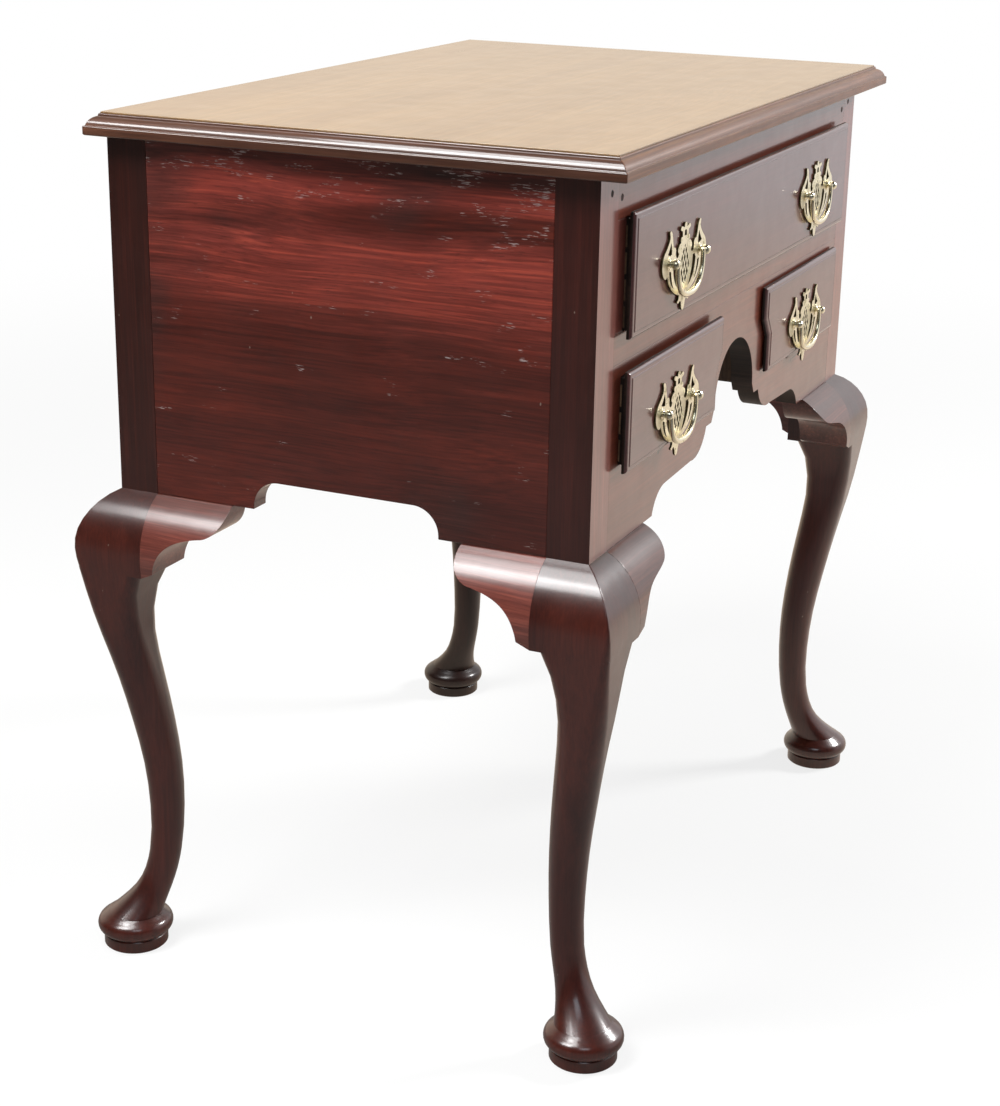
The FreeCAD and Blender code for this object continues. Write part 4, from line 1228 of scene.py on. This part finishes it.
@dataclass
class Pull:
    """One pull: a pierced plate, two posts with nuts inside the drawer, and a hanging bail.

    Attributes:
        name: the pull's name in the model.
        drawer: the drawer that carries it.
        kit: the lowboy's finishes.
        plate_arris: how round the plate's fretsawn and filed edges are.
        cuts: how far to the back a face of the plate has to look to be made dark, as painted shade
            in the piercings with their tarnish.
        nut_width: the nut's width over its flats.
        nut_thickness: the nut's thickness.
        nut_corner: how round its corners are.
        nut_land: how wide the rim round its dish is, and nut_dish how deep the dish is.
        bolt_radius: the bolt's radius, and bolt_over how far it stands out of its nut.
        bolt_taper: how far the bolt's end is drawn in, and bolt_tip how far it is drawn out.
    """

    name: str
    drawer: str
    kit: Finishes
    plate_arris: float = 0.00045
    cuts: float = -0.35
    nut_width: float = 0.0095
    nut_thickness: float = 0.0032
    nut_corner: float = 0.0007
    nut_land: float = 0.0018
    nut_dish: float = 0.0003
    bolt_radius: float = 0.0021
    bolt_over: float = 0.0016
    bolt_taper: float = 0.0006
    bolt_tip: float = 0.0005

    def metal(self) -> None:
        """Work and dress the plate, posts and bail."""
        kit = self.kit
        work = {"plate": (Worked(self.plate_arris, sharp=50.0, clamped=True), kit.plate),
                "posts": (Worked(0.0, smooth=38.0), kit.post_metal),
                "bail": (Worked(0.0, smooth=50.0), kit.bail)}
        for part, (way, finish) in work.items():
            piece = kit.put_on(way.copy(f"{self.name}_{part}"), finish, finish)
            if part == "plate":
                # painted shade: faces that do not look forward get the dark brass
                kit.put_on_faces(piece, kit.cut, facing(BACK, self.cuts))

    def nut(self) -> Piece:
        """Model a square nut with a dished face, and the bolt's end through it.

        Returns:
            The nut and bolt end as one piece, with the nut's seat at the origin.
        """
        put_down()
        bpy.ops.mesh.primitive_cube_add(size=1.0, location=(0.0, self.nut_thickness / 2, 0.0))
        nut = bpy.context.object
        nut.scale = (self.nut_width, self.nut_thickness, self.nut_width)
        with editing(settle(nut)):
            pick_faces(nut, facing(BACK, 0.9))
            bpy.ops.mesh.bevel(offset=self.nut_corner, segments=2)
            pick_faces(nut, facing(BACK, 0.99))
            bpy.ops.mesh.inset(thickness=self.nut_land, depth=-self.nut_dish)
        put_down()
        length = self.nut_thickness + self.bolt_over
        bpy.ops.mesh.primitive_cylinder_add(
            vertices=20, radius=self.bolt_radius, depth=length, location=(0.0, length / 2, 0.0),
            rotation=(math.pi / 2, 0.0, 0.0))
        bolt = settle(bpy.context.object)
        with editing(bolt):
            pick_faces(bolt, facing(BACK, 0.9))
            bpy.ops.mesh.inset(thickness=self.bolt_taper, depth=self.bolt_tip)
        return join([nut, bolt])

    def nuts(self) -> None:
        """Put the two nuts inside the drawer, behind the posts."""
        low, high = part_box(f"{self.name}_posts")
        inset = (high.z - low.z) / 2
        places = [Vector((x, high.y, low.z + inset)) for x in (low.x + inset, high.x - inset)]
        piece = repeat(self.nut(), places, f"{self.name}_nuts")
        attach(piece, self.drawer)
        self.kit.put_on(piece, self.kit.plate)

    def build(self) -> None:
        """Build the whole pull."""
        self.metal()
        self.nuts()


# ---- the studio
@dataclass(frozen=True)
class Softbox:
    """One flat lamp.

    Attributes:
        name: the lamp's name.
        place: where its middle is.
        towards: what it faces.
        width: its width, and height its height.
        radiance: how bright its face is, 1 being white.
        colour: its light's colour.
    """

    name: str
    place: Point
    towards: Point
    width: float
    height: float
    radiance: float
    colour: Colour = WHITE

    def build(self) -> None:
        """Hang the lamp."""
        data = bpy.data.lights.new(self.name, "AREA")
        data.shape = "RECTANGLE"
        data.color = self.colour
        data.size, data.size_y = self.width, self.height
        data.energy = self.radiance * math.pi * self.width * self.height
        lamp = bpy.data.objects.new(self.name, data)
        lamp.location = self.place
        away = Vector(self.towards) - Vector(self.place)
        lamp.rotation_euler = away.to_track_quat("-Z", "Y").to_euler()
        lamp.visible_camera = False
        bpy.context.scene.collection.objects.link(lamp)


@dataclass
class Studio:
    """The floor, the white room, the lamps and the camera.

    Attributes:
        floor_half: half the floor's width.
        paper: the floor's colour.
        white_share: how much of the floor near the lowboy is white to the eye for certain.
        white_reach: the distances where that share begins to grow and is whole.
        mirror_share: how much of the floor is evenly bright for the polish.
        near_tint: the nearer floor's tint for the polish.
        near_reach: the distances where that tint begins and is whole.
        shade: how bright the room's left side is for the polish.
        front_glare: the colour of the room in front for the polish, and back_glare behind.
        ceiling: how bright the room's ceiling is for the polish, as a share of its walls.
        ceiling_reach: how steeply a way has to rise to meet the ceiling, and where it begins.
        room_light: how bright the room is for plain light.
        azimuth: the camera's angle round the lowboy from straight in front, in degrees.
        elevation: the camera's angle above the horizon, in degrees.
        roll: the camera's turn about its own axis, in degrees.
        eye: the camera's place.
        focal: the camera's focal length in mm for a sensor of this width.
        sensor: the sensor's width in mm.
        sight: how far the camera sees.
    """

    floor_half: float = 12.0
    paper: Colour = (0.80, 0.80, 0.79)
    white_share: float = 0.80
    white_reach: Reach = (0.9, 3.0)
    mirror_share: float = 0.85
    near_tint: Colour = (0.90, 0.77, 0.64)
    near_reach: Reach = (4.3, 2.6)
    shade: float = 0.045
    front_glare: Colour = (0.90, 0.89, 0.90)
    back_glare: Colour = (0.98, 0.86, 0.72)
    ceiling: float = 0.15
    ceiling_reach: Reach = (0.80, 0.40)
    room_light: float = 0.19
    azimuth: float = -65.71
    elevation: float = 19.10
    roll: float = 1.03
    eye: Point = (-1.7254, -0.7659, 0.9520)
    focal: float = 69.37
    sensor: float = 36.0
    sight: float = 60.0
    lamps: tuple[Softbox, ...] = (
        Softbox("lamp_overhead", (-0.95, 0.45, 2.35), (-0.95, 0.45, 0.50), 1.15, 0.95, 10.2),
        Softbox("lamp_window", (-1.34, 0.86, 1.98), (-0.33, 0.86, 0.60), 1.0, 0.55, 18.0),
        Softbox("lamp_front_right", (1.60, -1.70, 1.90), (0.0, -0.20, 0.55), 0.6, 0.6, 66.0),
        Softbox("lamp_camera_side", (-1.85, -0.95, 2.15), (-0.30, -0.10, 0.20), 1.0, 1.0, 3.0,
                (0.82, 0.91, 1.0)),
    )

    def glare(self, graph: Graph, way: Feed, reach: float) -> tuple[Feed, Feed]:
        """The room as the polish mirrors it: pale in front, warm behind and shaded on the left.

        Args:
            graph: the floor's or the room's graph.
            way: a place or a direction.
            reach: how far out the room's sides begin.

        Returns:
            Its colour and its brightness.
        """
        sideways, depth, _ = graph.parts(way)
        behind = graph.smooth(depth, -0.1 * reach, 0.45 * reach)
        tint = graph.mix(behind, self.front_glare, self.back_glare)
        lit = graph.spread(graph.smooth(sideways, -0.5 * reach, 0.6 * reach), self.shade, 1.0)
        return tint, lit

    def floor(self) -> None:
        """Lay a pale paper floor, white to the eye but for the shadow on it."""
        put_down()
        bpy.ops.mesh.primitive_plane_add(size=2 * self.floor_half, location=(0.0, 0.0, 0.0))
        paper = bpy.context.object
        paper.name = "floor"
        material = bpy.data.materials.new("paper")
        material.use_nodes = True
        graph = Graph(material.node_tree)
        ray = by_name(graph.node("LightPath"))
        eye = ray["Is Camera Ray"]
        place = graph.node("TexCoord").outputs["Object"]
        distance = graph.vector("LENGTH", place)
        near = graph.spread(graph.smooth(distance, *self.white_reach), self.white_share, 1.0)
        polished = graph.times(ray["Is Glossy Ray"], self.mirror_share)
        share = graph.math("MAXIMUM", graph.times(eye, near), polished)
        tint, lit = self.glare(graph, place, 1.2)
        warm = graph.smooth(distance, *self.near_reach)
        tint = graph.mix(warm, tint, self.near_tint, "MULTIPLY")
        plain = graph.node("BsdfDiffuse", {"Color": self.paper})
        white = graph.node("Emission", {"Color": graph.mix(eye, tint, WHITE),
                                        "Strength": graph.math("MAXIMUM", lit, eye)})
        mixed = graph.node("MixShader", {0: share, 1: plain.outputs[0], 2: white.outputs[0]})
        graph.node("OutputMaterial", {"Surface": mixed.outputs[0]})
        paper.data.materials.append(material)

    def room(self) -> None:
        """Make a white room for the eye and a soft one for plain light.

        The polish mirrors a third, which is lit from the right under a dark ceiling.
        """
        world = bpy.data.worlds.new("room")
        world.use_nodes = True
        graph = Graph(world.node_tree)
        ray = by_name(graph.node("LightPath"))
        clear = graph.math("MAXIMUM", ray["Is Glossy Ray"], ray["Is Transmission Ray"])
        way = graph.node("TexCoord").outputs["Generated"]
        tint, lit = self.glare(graph, way, 0.5)
        low = graph.smooth(graph.parts(way)[2], *self.ceiling_reach)
        mirrored = graph.times(clear, graph.times(lit, graph.spread(low, self.ceiling, 1.0)))
        plain = graph.times(graph.math("SUBTRACT", 1.0, clear), self.room_light)
        strength = graph.math("MAXIMUM", ray["Is Camera Ray"], graph.math("ADD", mirrored, plain))
        colour = graph.mix(clear, WHITE, tint)
        wall = graph.node("Background", {"Color": colour, "Strength": strength})
        graph.node("OutputWorld", {"Surface": wall.outputs[0]})
        bpy.context.scene.world = world

    def camera(self) -> None:
        """Set up the camera, level but for its small roll."""
        around, above, tilt = (math.radians(a) for a in (self.azimuth, self.elevation, self.roll))
        back = Vector((math.sin(around) * math.cos(above), -math.cos(around) * math.cos(above),
                       math.sin(above)))
        level = Vector((math.cos(around), math.sin(around), 0.0))
        upright = back.cross(level)
        right = math.cos(tilt) * level + math.sin(tilt) * upright
        up = math.cos(tilt) * upright - math.sin(tilt) * level
        data = bpy.data.cameras.new("camera")
        data.sensor_width = self.sensor
        data.lens = self.focal
        data.clip_end = self.sight
        camera = bpy.data.objects.new("camera", data)
        turned = Matrix((right, up, back)).transposed().to_4x4()
        camera.matrix_world = Matrix.Translation(self.eye) @ turned
        bpy.context.scene.collection.objects.link(camera)
        bpy.context.scene.camera = camera

    def build(self) -> None:
        """Set up the studio."""
        bpy.context.scene.view_settings.view_transform = "Standard"
        self.floor()
        self.room()
        for lamp in self.lamps:
            lamp.build()
        self.camera()


def main() -> None:
    """Build the studio and the lowboy, piece by piece."""
    logging.basicConfig(level=logging.INFO, format="%(name)s %(message)s")
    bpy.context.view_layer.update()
    Studio().build()
    kit = Finishes()
    Case(kit).build()
    Top(kit).build()
    for name, board in (("long_drawer", 15.3), ("left_drawer", 17.0), ("right_drawer", 18.7)):
        Drawer(name, kit, board).build()
    for name, drawer in (("pull_upper_left", "long_drawer"), ("pull_upper_right", "long_drawer"),
                         ("pull_lower_left", "left_drawer"), ("pull_lower_right", "right_drawer")):
        Pull(name, drawer, kit).build()


if __name__ == "__main__":
    main()
